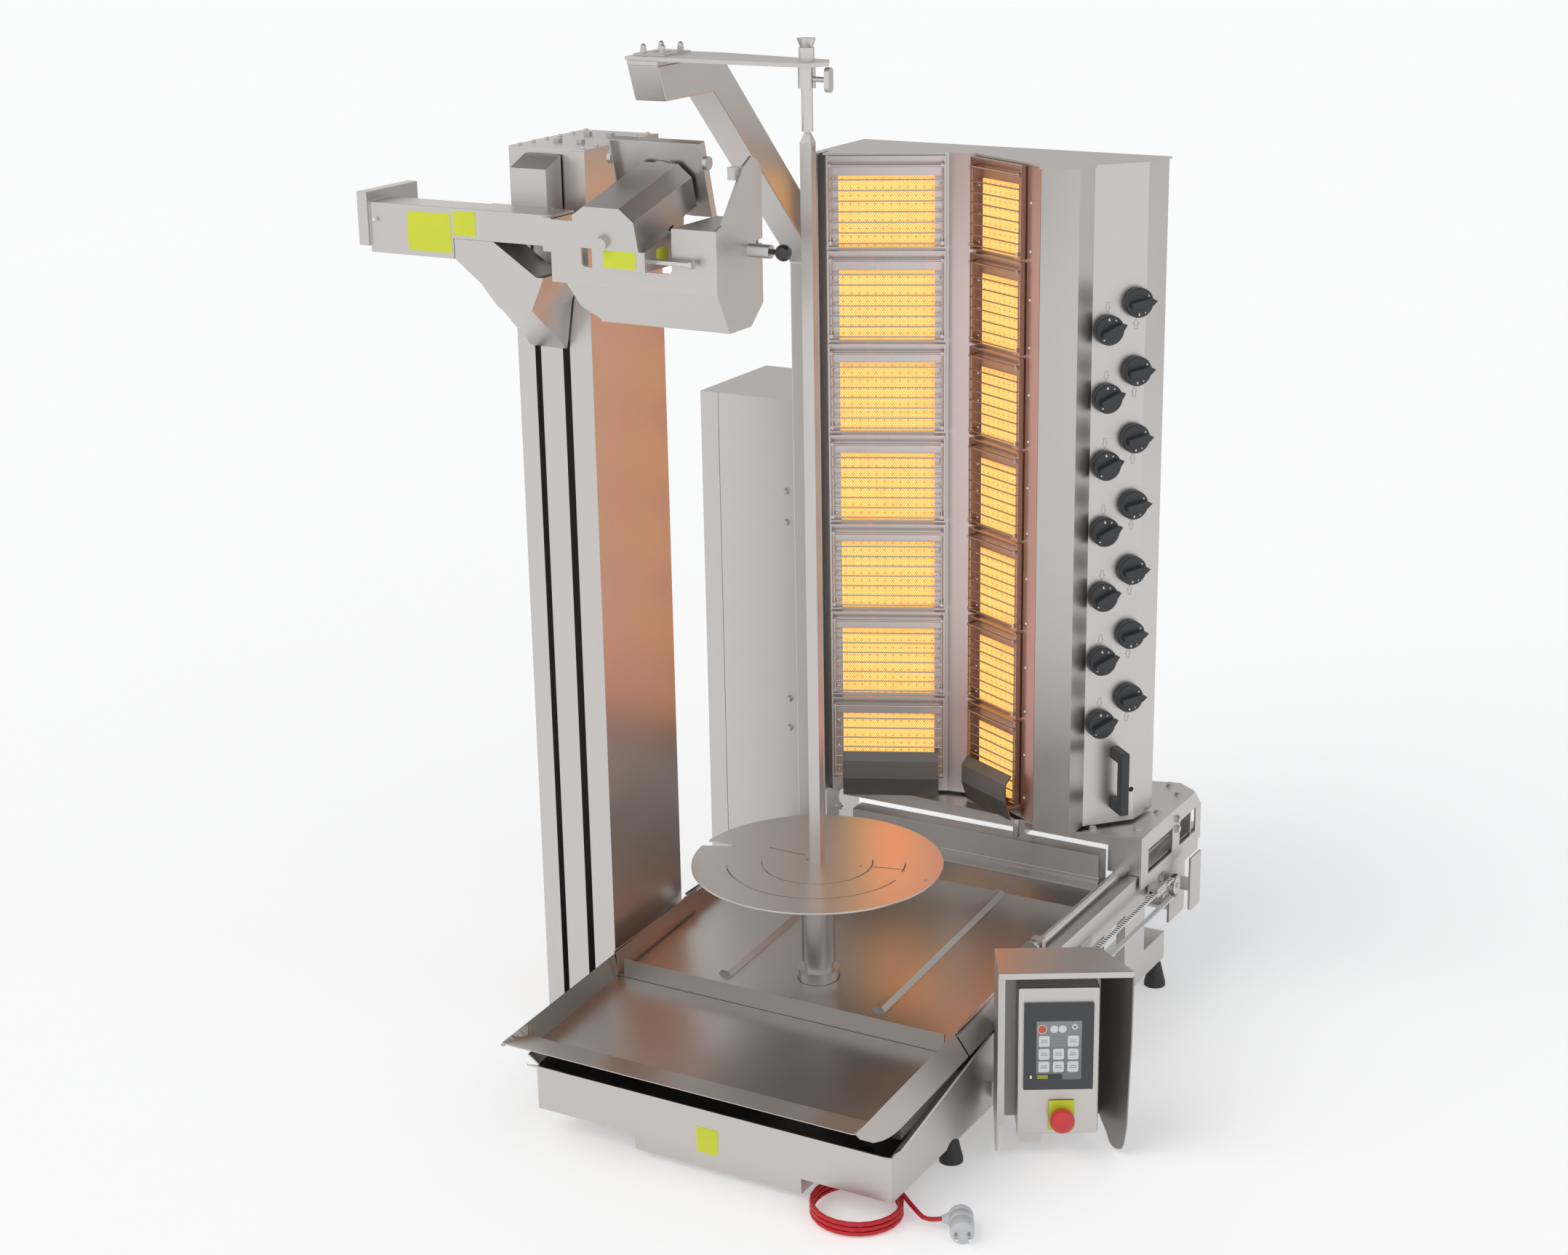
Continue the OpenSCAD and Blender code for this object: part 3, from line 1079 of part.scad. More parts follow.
// Rail: a channel with the rod blocks, belt plates and the belt motor
rail_front = 130;
rail_t = 4;
rail_low = 182;
rail_foot_h = 20;
rail_foot_y = [180, 380];
rail_foot_w = 30;
axle_d = 8;
axle_over = 3;
rod_block_len = 14;
rod_block_w = 20;
rod_block_y = [112, 726];
rod_flange_d = 31;
belt_plate_deep = 44;
belt_plate_z = [185, 238];
motor_y = [610, 680];
motor_z = [122, 160];
motor_len = 60;
motor_d = 56;
tail_x = 385;
tail_y = [627, 675];
tail_z = [143, 242];
tail_r = 8;
module rail_beam() color(steel) difference() {
    union() {
        along_y(rail_front, rail_back) polygon([[rail_inner, rail_z0], [rail_outer, rail_z0], [rail_outer, rail_z1],
            [rail_inner, rail_z1], [rail_inner, rail_z1 - rail_t], [rail_outer - rail_t, rail_z1 - rail_t],
            [rail_outer - rail_t, rail_z0 + rail_t], [rail_inner, rail_z0 + rail_t]]);
        for (y = rod_block_y) block([guide_x - rod_block_w / 2, y, rail_z1],
            [guide_x + rod_block_w / 2, y + rod_block_len, guide_z + guide_d * 0.8]);
        block([rail_inner, rod_block_y[0], rail_z0], [rail_outer, rail_front, rail_z1]);
        // Brackets to the base wall and to the rear cross beam
        for (y = rail_foot_y) along_y(y, y + rail_foot_w) polygon([[base_x, rail_low], [rail_inner + rail_t, rail_low],
            [rail_inner + rail_t, rail_z0 + rail_t], [rail_inner, rail_z0 + rail_t],
            [rail_inner, rail_low + rail_foot_h], [base_x, rail_low + rail_foot_h]]);
        block([rear_beam_x1, rear_y0, rail_z0], [rail_inner + rail_t, rear_y1, rail_z0 + post_w]);
        // Belt plates with their axles
        for (y = pulley_y) {
            block([rail_outer, y - belt_plate_deep / 2, belt_plate_z[0]],
                [rail_outer + rail_t, y + belt_plate_deep / 2, belt_plate_z[1]]);
            rod_x([rail_outer, y, pulley_z], pulley_x0 + pulley_w + axle_over - rail_outer, axle_d);
        }
        // Plate of the belt motor, the motor and the outer tail plate
        block([rail_outer - rail_t, motor_y[0], motor_z[0]], [rail_outer, motor_y[1], rail_z0 + rail_t]);
        rod_x([rail_outer - motor_len, (motor_y[0] + motor_y[1]) / 2, motor_z[1]], motor_len, motor_d);
        block([rail_outer, tail_y[0], rail_low], [tail_x, tail_y[1], rail_low + rail_t]);
        along_x(tail_x, tail_x + rail_t) difference() {
            translate([tail_y[0], tail_z[0]]) square([tail_y[1] - tail_y[0], tail_z[1] - tail_z[0]]);
            for (s = [0, 1]) translate([tail_y[s], tail_z[0]]) difference() {
                square(tail_r * 2, center = true);
                translate([tail_r * (1 - 2 * s), tail_r]) circle(r = tail_r);
            }
        }
    }
    rod_y([guide_x, guide_front, guide_z], rail_back - guide_front + cut, guide_d);
}
module guide_rod() color("gainsboro") {
    rod_y([guide_x, guide_front, guide_z], rail_back - guide_front, guide_d);
    rod_y([guide_x, guide_front - rail_t, guide_z], rail_t, rod_flange_d);
}

pulley_rim = 2;
pulley_over = 5;
module pulley(y) color(dark_steel) difference() {
    union() {
        rod_x([pulley_x0, y, pulley_z], pulley_w, pulley_r * 2);
        rod_x([pulley_x0 - pulley_rim, y, pulley_z], pulley_rim, pulley_r * 2 + pulley_over);
    }
    rod_x([pulley_x0 - pulley_rim - cut, y, pulley_z], pulley_w + pulley_rim + cut * 2, axle_d + running * 2);
}
module drive_belt() color(black) along_x(pulley_x0 + part_gap, pulley_x0 + pulley_w - part_gap) difference() {
    union() {
        for (y = pulley_y) translate([y, pulley_z]) circle(r = pulley_r + seat + belt_t);
        translate([pulley_y[0], pulley_z - pulley_r - seat - belt_t])
            square([pulley_y[1] - pulley_y[0], (pulley_r + seat + belt_t) * 2]);
    }
    for (y = pulley_y) translate([y, pulley_z]) circle(r = pulley_r + seat);
    translate([pulley_y[0], pulley_z - pulley_r - seat]) square([pulley_y[1] - pulley_y[0], (pulley_r + seat) * 2]);
}

// Control panel on a swivel post, with a hood over it
panel_face = [381, -63];
panel_z0 = 40;
panel_deep = 56;
post_at = [62, 90];
post_d = 25;
post_low = 58;
module at_panel() translate([panel_face.x, panel_face.y, 0]) rotate([0, 0, panel_turn]) children();
arm_z_low = 62;
arm_t = 26;
bracket_y = [-10, 40];
bracket_reach = 20;
bracket_end = [32, 58];
sleeve_in = 60;
sleeve_drop = 40;
module panel_bracket() color(steel) {
    at_panel() rod_z([post_at.x, post_at.y, post_low], panel_h - sleeve_drop, post_d);
    difference() {
        along_z(arm_z_low, arm_z_low + arm_t) polygon([[base_x, bracket_y[0]], [base_x, bracket_y[1]],
            [panel_face.x + bracket_reach, bracket_end[1]], [panel_face.x + bracket_reach, bracket_end[0]]]);
        at_panel() rod_z([post_at.x, post_at.y, post_low], panel_h, post_d - part_gap * 2);
    }
}
hood_top = 350;
hood_lip = 303;
hood_low = 11;
hood_left = -32;
hood_right = 48;
hood_t = 2;
hood_hem = 6;
hood_tie = 20;
hood_x1 = panel_w + hood_right;
hood_fwd = 22;
module panel_box() color(steel) at_panel() {
    difference() {
        block([0, 0, panel_z0], [panel_w, panel_deep, panel_z0 + panel_h]);
        rod_y([stop_u, -cut, stop_z], stop_gap * 2, stop_stem_d + part_gap * 2);
    }
    // Sleeve that turns on the post
    difference() {
        block([post_at.x - post_d, panel_deep, panel_z0 + sleeve_in],
            [post_at.x + post_d, post_at.y + post_d, panel_z0 + panel_h - sleeve_drop]);
        rod_z([post_at.x, post_at.y, panel_z0], panel_h, post_d + running * 2);
    }
    // Hood: sloping roof and two side wings
    along_x(hood_left, hood_x1) polygon(sheet([[-hood_fwd, hood_lip - hood_hem], [-hood_fwd, hood_lip],
        [panel_deep, hood_top], [panel_deep, panel_z0 + panel_h]], -hood_t));
    block([panel_w / 4, panel_deep - hood_t, panel_z0 + panel_h - hood_tie],
        [panel_w * 3 / 4, panel_deep + hood_t, hood_top - hood_tie]);
    for (x = [hood_left, hood_x1 - hood_t]) along_x(x, x + hood_t)
        polygon([[-hood_fwd, hood_lip], [-hood_t * 2, hood_low + hood_tie], [hood_hem, hood_low], [hood_tie, hood_low],
            [panel_deep, hood_lip], [panel_deep, hood_top]]);
}
screen_u = 9;
screen_z = 118;
screen_w = 106;
screen_h = 143;
screen_t = 5;
module touch_screen() color(black) at_panel() block([screen_u, -screen_t, screen_z], [screen_u + screen_w, 0, screen_z + screen_h]);
stop_u = 68;
stop_z = 70;
stop_plate = 42;
stop_h = 26;
stop_gap = 6;
stop_plate_t = 2;
stop_stem_d = 16;
module stop_plate_piece() at_panel() difference() {
    block([stop_u - stop_plate / 2, -stop_plate_t, stop_z - stop_plate / 2], [stop_u + stop_plate / 2, 0, stop_z + stop_plate / 2]);
    rod_y([stop_u, -stop_plate_t - cut, stop_z], stop_plate_t + cut * 2, stop_stem_d + part_gap * 2);
}
module e_stop() color("red") at_panel() {
    rod_y([stop_u, -stop_h, stop_z], stop_h - stop_plate_t - stop_gap, stop_d);
    rod_y([stop_u, -stop_plate_t - stop_gap, stop_z], stop_gap + stop_plate_t * 3 / 4, stop_stem_d);
}

plug_at = [402, -300, 19];
plug_turn = -61;
plug_side = [-4, -28];
function plug_point(v) = plug_at + [v.x * cos(plug_turn) - v.y * sin(plug_turn), v.x * sin(plug_turn) + v.y * cos(plug_turn), v.z];

// Cord: a gland under the base, a loose coil on the floor and an angled plug
inlet_x = 210;
inlet_y = -235;
gland_d = 16;
gland_low = 20;
cord_z = cord_d / 2 + 0.2;
gland_nut = 4;
gland_bore = 12;
module cord_gland() color(black) difference() {
    union() {
        rod_z([inlet_x, inlet_y, foot_h + base_wall_t], gland_nut, gland_d * 3 / 2);
        rod_z([inlet_x, inlet_y, foot_h], base_wall_t, gland_d);
        rod_z([inlet_x, inlet_y, foot_h - gland_nut], gland_nut, gland_d * 3 / 2);
        translate([inlet_x, inlet_y, gland_low]) cylinder(h = foot_h - gland_nut - gland_low, d1 = cord_d + wire_d, d2 = gland_d);
    }
    rod_z([inlet_x, inlet_y, gland_low - cut], gland_bore + cut, cord_d + running * 2);
}
coil_mid = [244, -329];
coil_pitch = cord_d + 1;
coil_rings = 24;
coil_sides = 6;
coil_start = 50;
coil_span = coil_turns * 360 - 10;
// Points of the coil's centre line, with straight ends one diameter long
coil_n = floor(coil_span / 360 * coil_rings);
function coil_at(i) = let(a = coil_start - coil_span * i / coil_n)
    [coil_mid.x + coil_r * cos(a), coil_mid.y + coil_r * sin(a), cord_z + coil_pitch * coil_span / 360 * i / coil_n];
// Rings of a tube: ref is a direction that the route never follows
function ring(p, d, ref, r, sides) = let(n = unit(cross(d, ref)), b = cross(n, d))
    [for (k = [0:sides - 1]) p + n * (r * cos(k * 360 / sides)) + b * (r * sin(k * 360 / sides))];
function tangent(path, i) = unit(path[min(i + 1, len(path) - 1)] - path[max(i - 1, 0)]);
module tube(path, r, sides, ref) {
    n = len(path);
    points = [for (i = [0:n - 1]) each ring(path[i], tangent(path, i), ref, r, sides)];
    walls = [for (i = [0:n - 2], k = [0:sides - 1]) let(a = i * sides + k, b = i * sides + (k + 1) % sides)
        each [[a, a + sides, b], [b, a + sides, b + sides]]];
    caps = [for (k = [1:sides - 2])
        each [[0, k, k + 1], [(n - 1) * sides, (n - 1) * sides + k + 1, (n - 1) * sides + k]]];
    polyhedron(points = points, faces = concat(walls, caps));
}
coil_curve = [for (i = [0:coil_n]) coil_at(i)];
coil_in = coil_curve[0] - unit(coil_curve[1] - coil_curve[0]) * cord_d;
coil_out = coil_curve[coil_n] + unit(coil_curve[coil_n] - coil_curve[coil_n - 1]) * cord_d;
coil_path = concat([coil_in], coil_curve, [coil_out]);
module cord_coil() color("crimson") tube(coil_path, cord_d / 2, coil_sides, [0, 0, 1]);
coil_gap = min([for (i = [0:coil_n], j = [0:coil_n]) if (j - i > coil_rings / 2) norm(coil_curve[i] - coil_curve[j])]) - cord_d;
echo(coil_gap = coil_gap);

cord_in_route = [[inlet_x, inlet_y, gland_low + gland_bore / 2], [inlet_x, inlet_y, gland_low - 2], [215, -234, 9],
    [225, -233, cord_z], [245, -236, cord_z], [266, -250, cord_z]];
cord_sides = 8;
cord_out_route = [[312, -291.5, 20], [340.6, -309.5, 15], [350, -313.4, 15], [358.6, -314.5, 16], [367, -313.4, 17.5], plug_point([plug_side.x, plug_side.y - seat, 0])];
coil_seat = seat / cord_d;
function spline(p, i, t) = let(a = p[max(i - 1, 0)], b = p[i], c = p[i + 1], d = p[min(i + 2, len(p) - 1)])
    0.5 * (2 * b + (c - a) * t + (2 * a - 5 * b + 4 * c - d) * t * t + (3 * b - a - 3 * c + d) * t * t * t);
spline_steps = 4;
function smooth(p) = concat([for (i = [0:len(p) - 2], s = [0:spline_steps - 1]) spline(p, i, s / spline_steps)], [p[len(p) - 1]]);
cord_in_end = coil_in + coil_in - coil_curve[0];
cord_out_start = coil_out * 2 - coil_curve[coil_n];
module cord_tube() color("crimson") {
    tube(concat(smooth(concat(cord_in_route, [cord_in_end])), [coil_in + (coil_in - coil_curve[0]) * coil_seat]),
        cord_d / 2, cord_sides, [0, 1, 0]);
    tube(concat([coil_out + (coil_out - coil_curve[coil_n]) * coil_seat], smooth(concat([cord_out_start], cord_out_route))),
        cord_d / 2, cord_sides, [0, 0, 1]);
}

// Angled plug lying on the floor
plug_d = 38;
plug_body = 28;
plug_back = 15;
plug_base = 26;
plug_neck_d = 16;
plug_neck = 2;
pin_len = 19;
pin_gap = 19;
plug_pin_d = 4.8;
module plug() translate(plug_at) rotate([0, 0, plug_turn]) {
    color("gainsboro") {
        hull() {
            rod_x([-plug_back, 0, 0], plug_body, plug_d);
            translate([plug_side.x, plug_side.y + plug_neck, 0]) rotate([90, 0, 0])
                cylinder(h = plug_neck, d = plug_neck_d, $fn = 32);
        }
        rod_x([plug_body - plug_back, 0, 0], plug_base, plug_d - plug_neck);
    }
    for (s = [-1, 1]) rod_x([plug_body - plug_back + plug_base, s * pin_gap / 2, 0], pin_len, plug_pin_d);
}

// The frame's origin is the middle of the floor under the whole machine.
right_end = panel_face.x + (panel_w + hood_right) * cos(panel_turn) + hood_fwd * sin(panel_turn);
pan_tip = mitre([0, -pan_hem], [0, 0], [pan_fold_y, -pan_fold], sheet_t);
front_end = pan_front - pan_tip.x * cos(table_slope) + pan_tip.y * sin(table_slope);
mid_x = (right_end - arm_left) / 2;
mid_y = (rail_back - front_end) / 2;
module from_spit_axis() translate([-mid_x, -mid_y, 0]) children();

from_spit_axis() { base_frame(); under_box(); }
from_spit_axis() base_feet();
from_spit_axis() meat_table();
from_spit_axis() rear_frame();
from_spit_axis() bearing_collar();
from_spit_axis() turntable_motor();
from_spit_axis() neck_post();
from_spit_axis() top_arm();
from_spit_axis() top_bearing();
from_spit_axis() cabinet_box();
from_spit_axis() cabinet_door();
from_spit_axis() { column_shell(); column_cap(); }
from_spit_axis() rail_beam();
from_spit_axis() guide_rod();
from_spit_axis() panel_bracket();
from_spit_axis() cord_gland();
from_spit_axis() cord_tube();
from_spit_axis() cord_coil();
from_spit_axis() plug();
from_spit_axis() turntable_disc();
from_spit_axis() drive_tube();
from_spit_axis() spit();
from_spit_axis() centre_pin();
from_spit_axis() lock_lever();
from_spit_axis() meat_pan();
from_spit_axis() burner_carriage();
from_spit_axis() burner_housing();
from_spit_axis() left_burner_frames();
from_spit_axis() right_burner_frames();
from_spit_axis() burner_plaques();
from_spit_axis() housing_handle();
for (i = [0:2 * knob_rows - 1]) from_spit_axis() gas_knob_row(i);
from_spit_axis() lift_carriage();
from_spit_axis() lift_screw();
from_spit_axis() arm_beam();
from_spit_axis() head_carrier();
from_spit_axis() index_plunger();
from_spit_axis() head_housing();
from_spit_axis() blade_guard();
from_spit_axis() blade();
from_spit_axis() sharpener_rod();
from_spit_axis() drive_belt();
from_spit_axis() pulley(pulley_y[0]);  // pulley_front
from_spit_axis() pulley(pulley_y[1]);  // pulley_rear
from_spit_axis() { panel_box(); stop_plate_piece(); }
from_spit_axis() touch_screen();
from_spit_axis() e_stop();
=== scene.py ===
# Automatic doner kebab grill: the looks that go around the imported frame.
import json
import math
import bmesh
import bpy
from mathutils import Matrix, Vector


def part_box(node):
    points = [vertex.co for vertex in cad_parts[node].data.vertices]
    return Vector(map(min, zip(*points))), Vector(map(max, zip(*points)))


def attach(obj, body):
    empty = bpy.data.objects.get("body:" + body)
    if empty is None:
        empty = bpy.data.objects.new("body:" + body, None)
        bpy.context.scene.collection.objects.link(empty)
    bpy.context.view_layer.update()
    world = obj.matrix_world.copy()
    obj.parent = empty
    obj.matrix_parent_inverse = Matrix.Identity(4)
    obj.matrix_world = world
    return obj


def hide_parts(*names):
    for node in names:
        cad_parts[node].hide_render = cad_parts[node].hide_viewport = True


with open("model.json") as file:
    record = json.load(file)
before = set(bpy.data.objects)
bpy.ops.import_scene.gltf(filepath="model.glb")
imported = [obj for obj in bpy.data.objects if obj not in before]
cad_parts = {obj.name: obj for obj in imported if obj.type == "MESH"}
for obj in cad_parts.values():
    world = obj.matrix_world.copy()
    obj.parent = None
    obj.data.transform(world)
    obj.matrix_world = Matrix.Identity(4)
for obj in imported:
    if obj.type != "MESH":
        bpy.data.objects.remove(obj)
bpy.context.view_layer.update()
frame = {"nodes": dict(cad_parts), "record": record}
nodes = frame["nodes"]

# The drawing is measured from the spit axis at the floor, in millimetres
spitAxis = (69.022, -147.419)


def place(x, y, z):
    return Vector(((x + spitAxis[0]) / 1000, (y + spitAxis[1]) / 1000, z / 1000))


millimetres = Matrix.Diagonal((0.001, 0.001, 0.001, 1.0))
fromSpit = Matrix.Translation(place(0, 0, 0)) @ millimetres


def setOut(name, data):
    made = bpy.data.objects.new(name, data)
    bpy.context.scene.collection.objects.link(made)
    return made


# The camera of the photograph
cameraSettings = {
    "at": (1904.6, -3387.4, 2031.8),
    "right": (0.868223, 0.495907, -0.016265),
    "down": (0.137948, -0.272746, -0.952145),
    "forward": (-0.476611, 0.824431, -0.305214),
    "lens": 60.784,
    "sensor": 36,
}


def makeCamera(s):
    data = bpy.data.cameras.new("camera")
    data.lens = s["lens"]
    data.sensor_width = s["sensor"]
    camera = setOut("camera", data)
    right, down, forward = (Vector(s[k]) for k in ("right", "down", "forward"))
    turn = Matrix((right, -down, -forward)).transposed().to_4x4()
    camera.matrix_world = Matrix.Translation(place(*s["at"])) @ turn
    bpy.context.scene.camera = camera
    print("camera placed")


makeCamera(cameraSettings)


# Depth in metres of the finest marks in steel and plastic
grainDepth = 0.0002


# One value in a material: Python sums on it add Math nodes
class Signal:
    def __init__(self, tree, socket):
        self.tree = tree
        self.socket = socket

    def sum(self, operation, *others):
        made = self.tree.nodes.new("ShaderNodeMath")
        made.operation = operation
        for slot, value in zip(made.inputs, others):
            if isinstance(value, Signal):
                self.tree.links.new(value.socket, slot)
            else:
                slot.default_value = value
        return Signal(self.tree, made.outputs[0])

    def __add__(self, other):
        return self.sum("ADD", self, other)

    def __mul__(self, other):
        return self.sum("MULTIPLY", self, other)

    __radd__, __rmul__ = __add__, __mul__

    def __sub__(self, other):
        return self.sum("SUBTRACT", self, other)

    def __rsub__(self, other):
        return self.sum("SUBTRACT", other, self)

    def __truediv__(self, other):
        return self.sum("DIVIDE", self, other)

    def floor(self):
        return self.sum("FLOOR", self)

    def fract(self):
        return self.sum("FRACT", self)

    def size(self):
        return self.sum("ABSOLUTE", self)

    def root(self):
        return self.sum("SQRT", self)

    def below(self, edge, soft):
        made = self.tree.nodes.new("ShaderNodeMapRange")
        made.interpolation_type = "SMOOTHSTEP"
        self.tree.links.new(self.socket, made.inputs["Value"])
        made.inputs["From Min"].default_value = edge - soft
        made.inputs["From Max"].default_value = edge + soft
        made.inputs["To Min"].default_value = 1.0
        made.inputs["To Max"].default_value = 0.0
        return Signal(self.tree, made.outputs["Result"])


# A finish: one Principled shader, and node() for every other node. A world can take its place.
class Finish:
    def __init__(self, name, world=None):
        self.material = world or bpy.data.materials.new(name)
        self.material.use_nodes = True
        self.tree = self.material.node_tree
        self.tree.nodes.clear()
        self.end = self.tree.nodes.new("ShaderNodeOutputWorld" if world else "ShaderNodeOutputMaterial")

    def node(self, kind, settings=None, inputs=None, out=0):
        made = self.tree.nodes.new(kind)
        for key, value in (settings or {}).items():
            if key == "stops":
                while len(made.color_ramp.elements) < len(value):
                    made.color_ramp.elements.new(0.5)
                for element, (spot, colour) in zip(made.color_ramp.elements, value):
                    element.position = spot
                    element.color = (*colour, 1.0)
            else:
                setattr(made, key, value)
        for key, value in (inputs or {}).items():
            if isinstance(value, Signal):
                self.tree.links.new(value.socket, made.inputs[key])
            else:
                made.inputs[key].default_value = value
        return Signal(self.tree, made.outputs[out])

    def here(self):
        return self.node("ShaderNodeTexCoord", out="Object")

    def hereApart(self):
        apart = self.tree.nodes.new("ShaderNodeSeparateXYZ")
        self.tree.links.new(self.here().socket, apart.inputs[0])
        return [Signal(self.tree, out) for out in apart.outputs]

    def noise(self, scale, detail=2.0, rough=0.5, stretch=(1, 1, 1)):
        where = self.node("ShaderNodeMapping", None, {"Vector": self.here(), "Scale": stretch})
        return self.node("ShaderNodeTexNoise", None,
                         {"Vector": where, "Scale": scale, "Detail": detail, "Roughness": rough})

    def mix(self, share, a, b):
        made = self.tree.nodes.new("ShaderNodeMix")
        made.data_type = "RGBA"
        for index, value in ((0, share), (6, a), (7, b)):
            if isinstance(value, Signal):
                self.tree.links.new(value.socket, made.inputs[index])
            else:
                made.inputs[index].default_value = value if index == 0 else (*value, 1.0)
        return Signal(self.tree, made.outputs[2])

    def bump(self, height, strength, distance=grainDepth):
        return self.node("ShaderNodeBump", None, {"Height": height, "Strength": strength, "Distance": distance})

    def shaded(self, colour, tone):
        return self.node("ShaderNodeVectorMath", {"operation": "SCALE"}, {0: colour, "Scale": tone})

    def show(self, shader):
        self.tree.links.new(shader.socket, self.end.inputs["Surface"])
        return self.material

    def close(self, **inputs):
        named = {key.replace("_", " "): value for key, value in inputs.items()}
        for key, value in named.items():
            if isinstance(value, tuple) and len(value) == 3:
                named[key] = (*value, 1.0)
        return self.show(self.node("ShaderNodeBsdfPrincipled", None, named))


# The cord's route: out of its gland under the base, a coil on the floor, then the plug
cordSettings = {
    "diameter": 7.0,
    "coilMiddle": (244.0, -329.0),
    "coilRadius": 67.0,
    "coilStart": 50.0,
    "coilSpan": 1070.0,
    "coilPitch": 8.0,
    "low": 3.7,
    "ringsPerTurn": 24,
    "roundness": 5,
    "stepsPerPoint": 6,
    "routeIn": [(210, -235, 26), (210, -235, 18), (215, -234, 9), (225, -233, 3.7), (245, -236, 3.7),
                (266, -250, 3.7)],
    "routeOut": [(312, -291.5, 20), (340.6, -309.5, 15), (350, -313.4, 15), (358.6, -314.5, 16),
                 (367, -313.4, 17.5)],
    "plugAt": (402.0, -300.0, 19.0),
    "plugTurn": -61.0,
    "plugEntry": (-4.0, -28.0),
    "plugGap": 0.3,
}


def plugPoint(s, x, y):
    turn = math.radians(s["plugTurn"])
    return (s["plugAt"][0] + x * math.cos(turn) - y * math.sin(turn),
            s["plugAt"][1] + x * math.sin(turn) + y * math.cos(turn), s["plugAt"][2])


def coilPoints(s):
    count = math.floor(s["coilSpan"] / 360 * s["ringsPerTurn"])
    points = []
    for i in range(count + 1):
        angle = math.radians(s["coilStart"] - s["coilSpan"] * i / count)
        points.append((s["coilMiddle"][0] + s["coilRadius"] * math.cos(angle),
                       s["coilMiddle"][1] + s["coilRadius"] * math.sin(angle),
                       s["low"] + s["coilPitch"] * s["coilSpan"] / 360 * i / count))
    return [Vector(p) for p in points]


def smoothRoute(points, steps):
    # a curve through all points that leaves each one smoothly
    out = []
    for i in range(len(points) - 1):
        a, b, c, d = points[max(i - 1, 0)], points[i], points[i + 1], points[min(i + 2, len(points) - 1)]
        for k in range(steps):
            t = k / steps
            out.append(0.5 * (2 * b + (c - a) * t + (2 * a - 5 * b + 4 * c - d) * t * t
                              + (3 * b - a - 3 * c + d) * t ** 3))
    return out + [points[-1]]


def cordRoute(s):
    coil = coilPoints(s)
    first = coil[0] - (coil[1] - coil[0]).normalized() * s["diameter"]
    last = coil[-1] + (coil[-1] - coil[-2]).normalized() * s["diameter"]
    before = smoothRoute([Vector(p) for p in s["routeIn"]] + [first], s["stepsPerPoint"])
    entry = Vector(plugPoint(s, s["plugEntry"][0], s["plugEntry"][1] - s["plugGap"]))
    after = smoothRoute([last] + [Vector(p) for p in s["routeOut"]] + [entry], s["stepsPerPoint"])
    return [place(*p) for p in before + coil + after]


# Floor, light and the grey cards that the steel reflects
stageSettings = {
    "floorHalf": 45.0,
    "floorColour": (0.86, 0.86, 0.86),
    "floorGlow": 0.27,
    "floorCloud": (0.6, 0.01),
    "worldColour": (0.95, 0.97, 1.0),
    "worldStrength": 0.46,
    "suns": [
        # direction the light comes from, strength, width in degrees, colour
        ((-0.45, -0.75, 0.9), 1.20, 50, (1.0, 0.98, 0.95)),
        ((0.9, -0.5, 0.8), 0.50, 60, (0.96, 0.98, 1.0)),
    ],
    "glowLamps": [
        # place in mm, where it looks, width and height in mm, power
        ((-95, 420, 900), (-300, 0, 700), 150, 1000, 0.22),
        ((95, 430, 900), (60, 100, 500), 120, 1000, 0.09),
        ((60, 300, 520), (60, 120, 200), 260, 120, 0.04),
        ((0, 395, 900), (90, 480, 900), 40, 1080, 0.05),
    ],
    "glowColour": (1.0, 0.02, 0.03),
    "cardColour": (1.0, 0.98, 0.96, 1.0),
    "cards": [
        # middle in mm, width, height, tilt about X and Z in degrees, grey
        ((0, 900, 3600), 5200, 3600, 0, 0, 0.12),
        ((0, 4200, 1500), 6500, 3000, 90, 0, 0.60),
    ],
}


def makeWorld(s):
    world = bpy.data.worlds.new("studio")
    bpy.context.scene.world = world
    room = Finish("studio", world)
    rays = room.tree.nodes.new("ShaderNodeLightPath")
    kinds = ("Is Camera Ray", "Is Glossy Ray", "Is Transmission Ray")
    camera, glossy, through = (Signal(room.tree, rays.outputs[kind]) for kind in kinds)
    seen = camera.sum("MAXIMUM", camera, glossy.sum("MAXIMUM", glossy, through))
    lit = room.node("ShaderNodeBackground", None, {"Color": (*s["worldColour"], 1.0), "Strength": s["worldStrength"]})
    white = room.node("ShaderNodeBackground", None, {"Color": (1.0, 1.0, 1.0, 1.0), "Strength": 1.0})
    room.show(room.node("ShaderNodeMixShader", None, {0: seen, 1: lit, 2: white}))


def flatCard(name, half, high):
    mesh = bpy.data.meshes.new(name)
    mesh.from_pydata([(-half, -high, 0), (half, -high, 0), (half, high, 0), (-half, high, 0)], [], [(0, 1, 2, 3)])
    card = setOut(name, mesh)
    return card


def hangLamp(name, kind, power, colour, spot, away):
    data = bpy.data.lights.new(name, kind)
    data.energy = power
    data.color = colour
    lamp = setOut(name, data)
    lamp.matrix_world = Matrix.Translation(spot) @ away.to_track_quat("Z", "Y").to_matrix().to_4x4()
    return lamp


